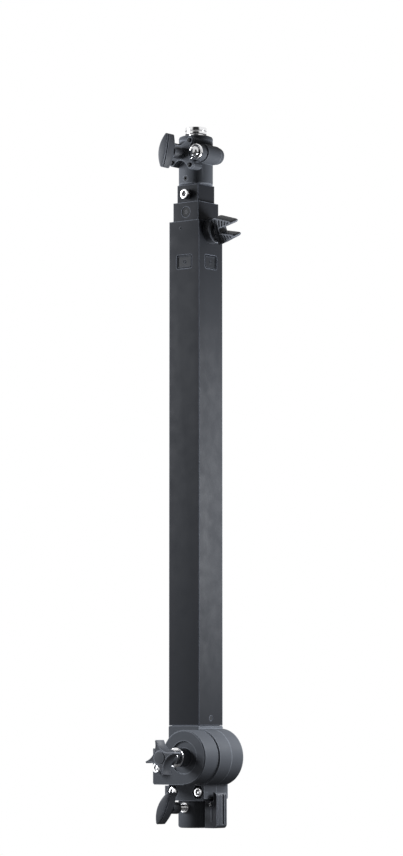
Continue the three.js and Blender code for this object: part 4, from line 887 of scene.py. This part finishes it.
class POST_OT_t_knobs(PostOperator, Operator):
    """Makes the two T-knobs with their studs and washers"""
    bl_idname = "post.t_knobs"
    bl_label = "T-knobs"

    def execute(self, context):
        t_knob("top", "top_t_knob", tilt=0.2, reach=2.0, face=-32.0, thread=0.5)
        t_knob("bottom", "bottom_t_knob", tilt=0.43, reach=3.0, face=-22.5, thread=15.0)
        return {"FINISHED"}


class POST_OT_tubes(PostOperator, Operator):
    """Rounds the tubes' edges and makes the glides in the outer tube's windows"""
    bl_idname = "post.tubes"
    bl_label = "Tubes"

    def execute(self, context):
        for node, body in (("inner_tube", "head"), ("middle_tube", "middle"), ("outer_tube", "outer")):
            refined(node, body, "tube", sizes().tube_edge)
        glides()
        return {"FINISHED"}


class POST_OT_clamp(PostOperator, Operator):
    """Makes the clamp's boss, washer and wing knob"""
    bl_idname = "post.clamp"
    bl_label = "Clamp"

    def execute(self, context):
        clamp_boss()
        wing_knob()
        return {"FINISHED"}


class POST_OT_housing(PostOperator, Operator):
    """Makes the housing, the brake with its star knob, and the bottom socket with its latch"""
    bl_idname = "post.housing"
    bl_label = "Housing"

    def execute(self, context):
        for node in ("housing_front", "housing_rear", "brake_casting", "bottom_socket"):
            refined(node, "outer", "casting", sizes().casting_edge)
        refined("latch", "latch", "black_plastic", sizes().latch_edge, joined=True)
        brake_washer()
        star_knob()
        for node in ("block_screw_left", "block_screw_right", "brake_casting_screw"):
            cap_screw(node, "outer")
        return {"FINISHED"}


class POST_OT_stage(PostOperator, Operator):
    """Sets the camera, the lamps, the world and the floor"""
    bl_idname = "post.stage"
    bl_label = "Stage"

    def execute(self, context):
        settings = context.scene.post_stage
        point_camera(settings)
        turn = settings.azimuth
        for name, degrees, distance, height, size, power in LAMPS:
            soft_box(name, turn + math.radians(degrees), distance, height, size, power)
        light_world(turn)
        lay_floor()
        context.scene.view_settings.view_transform = "Standard"
        return {"FINISHED"}


class POST_PT_panel(Panel):
    """Lists the operators"""
    bl_idname = "POST_PT_panel"
    bl_label = "Telescopic Post"
    bl_space_type = "VIEW_3D"
    bl_region_type = "UI"
    bl_category = "Post"

    def draw(self, context):
        for operator in OPERATORS:
            self.layout.operator(operator.bl_idname)
        for settings in (context.scene.post_colours, context.scene.post_sizes, context.scene.post_stage):
            for key in settings.__annotations__:
                self.layout.prop(settings, key)


OPERATORS = (POST_OT_finishes, POST_OT_head, POST_OT_t_knobs, POST_OT_tubes, POST_OT_clamp, POST_OT_housing,
             POST_OT_stage)
CLASSES = (PostColours, PostSizes, PostStage) + OPERATORS + (POST_PT_panel,)


def register():
    """Makes the settings, the operators and the panel known to Blender."""
    for cls in CLASSES:
        bpy.utils.register_class(cls)
    bpy.types.Scene.post_colours = PointerProperty(type=PostColours)
    bpy.types.Scene.post_sizes = PointerProperty(type=PostSizes)
    bpy.types.Scene.post_stage = PointerProperty(type=PostStage)


def unregister():
    """Takes them away again."""
    del bpy.types.Scene.post_stage
    del bpy.types.Scene.post_sizes
    del bpy.types.Scene.post_colours
    for cls in reversed(CLASSES):
        bpy.utils.unregister_class(cls)


def main():
    """Runs every operator in order."""
    register()
    for operator in OPERATORS:
        group, name = operator.bl_idname.split(".")
        getattr(getattr(bpy.ops, group), name)()


if __name__ == "__main__":
    main()
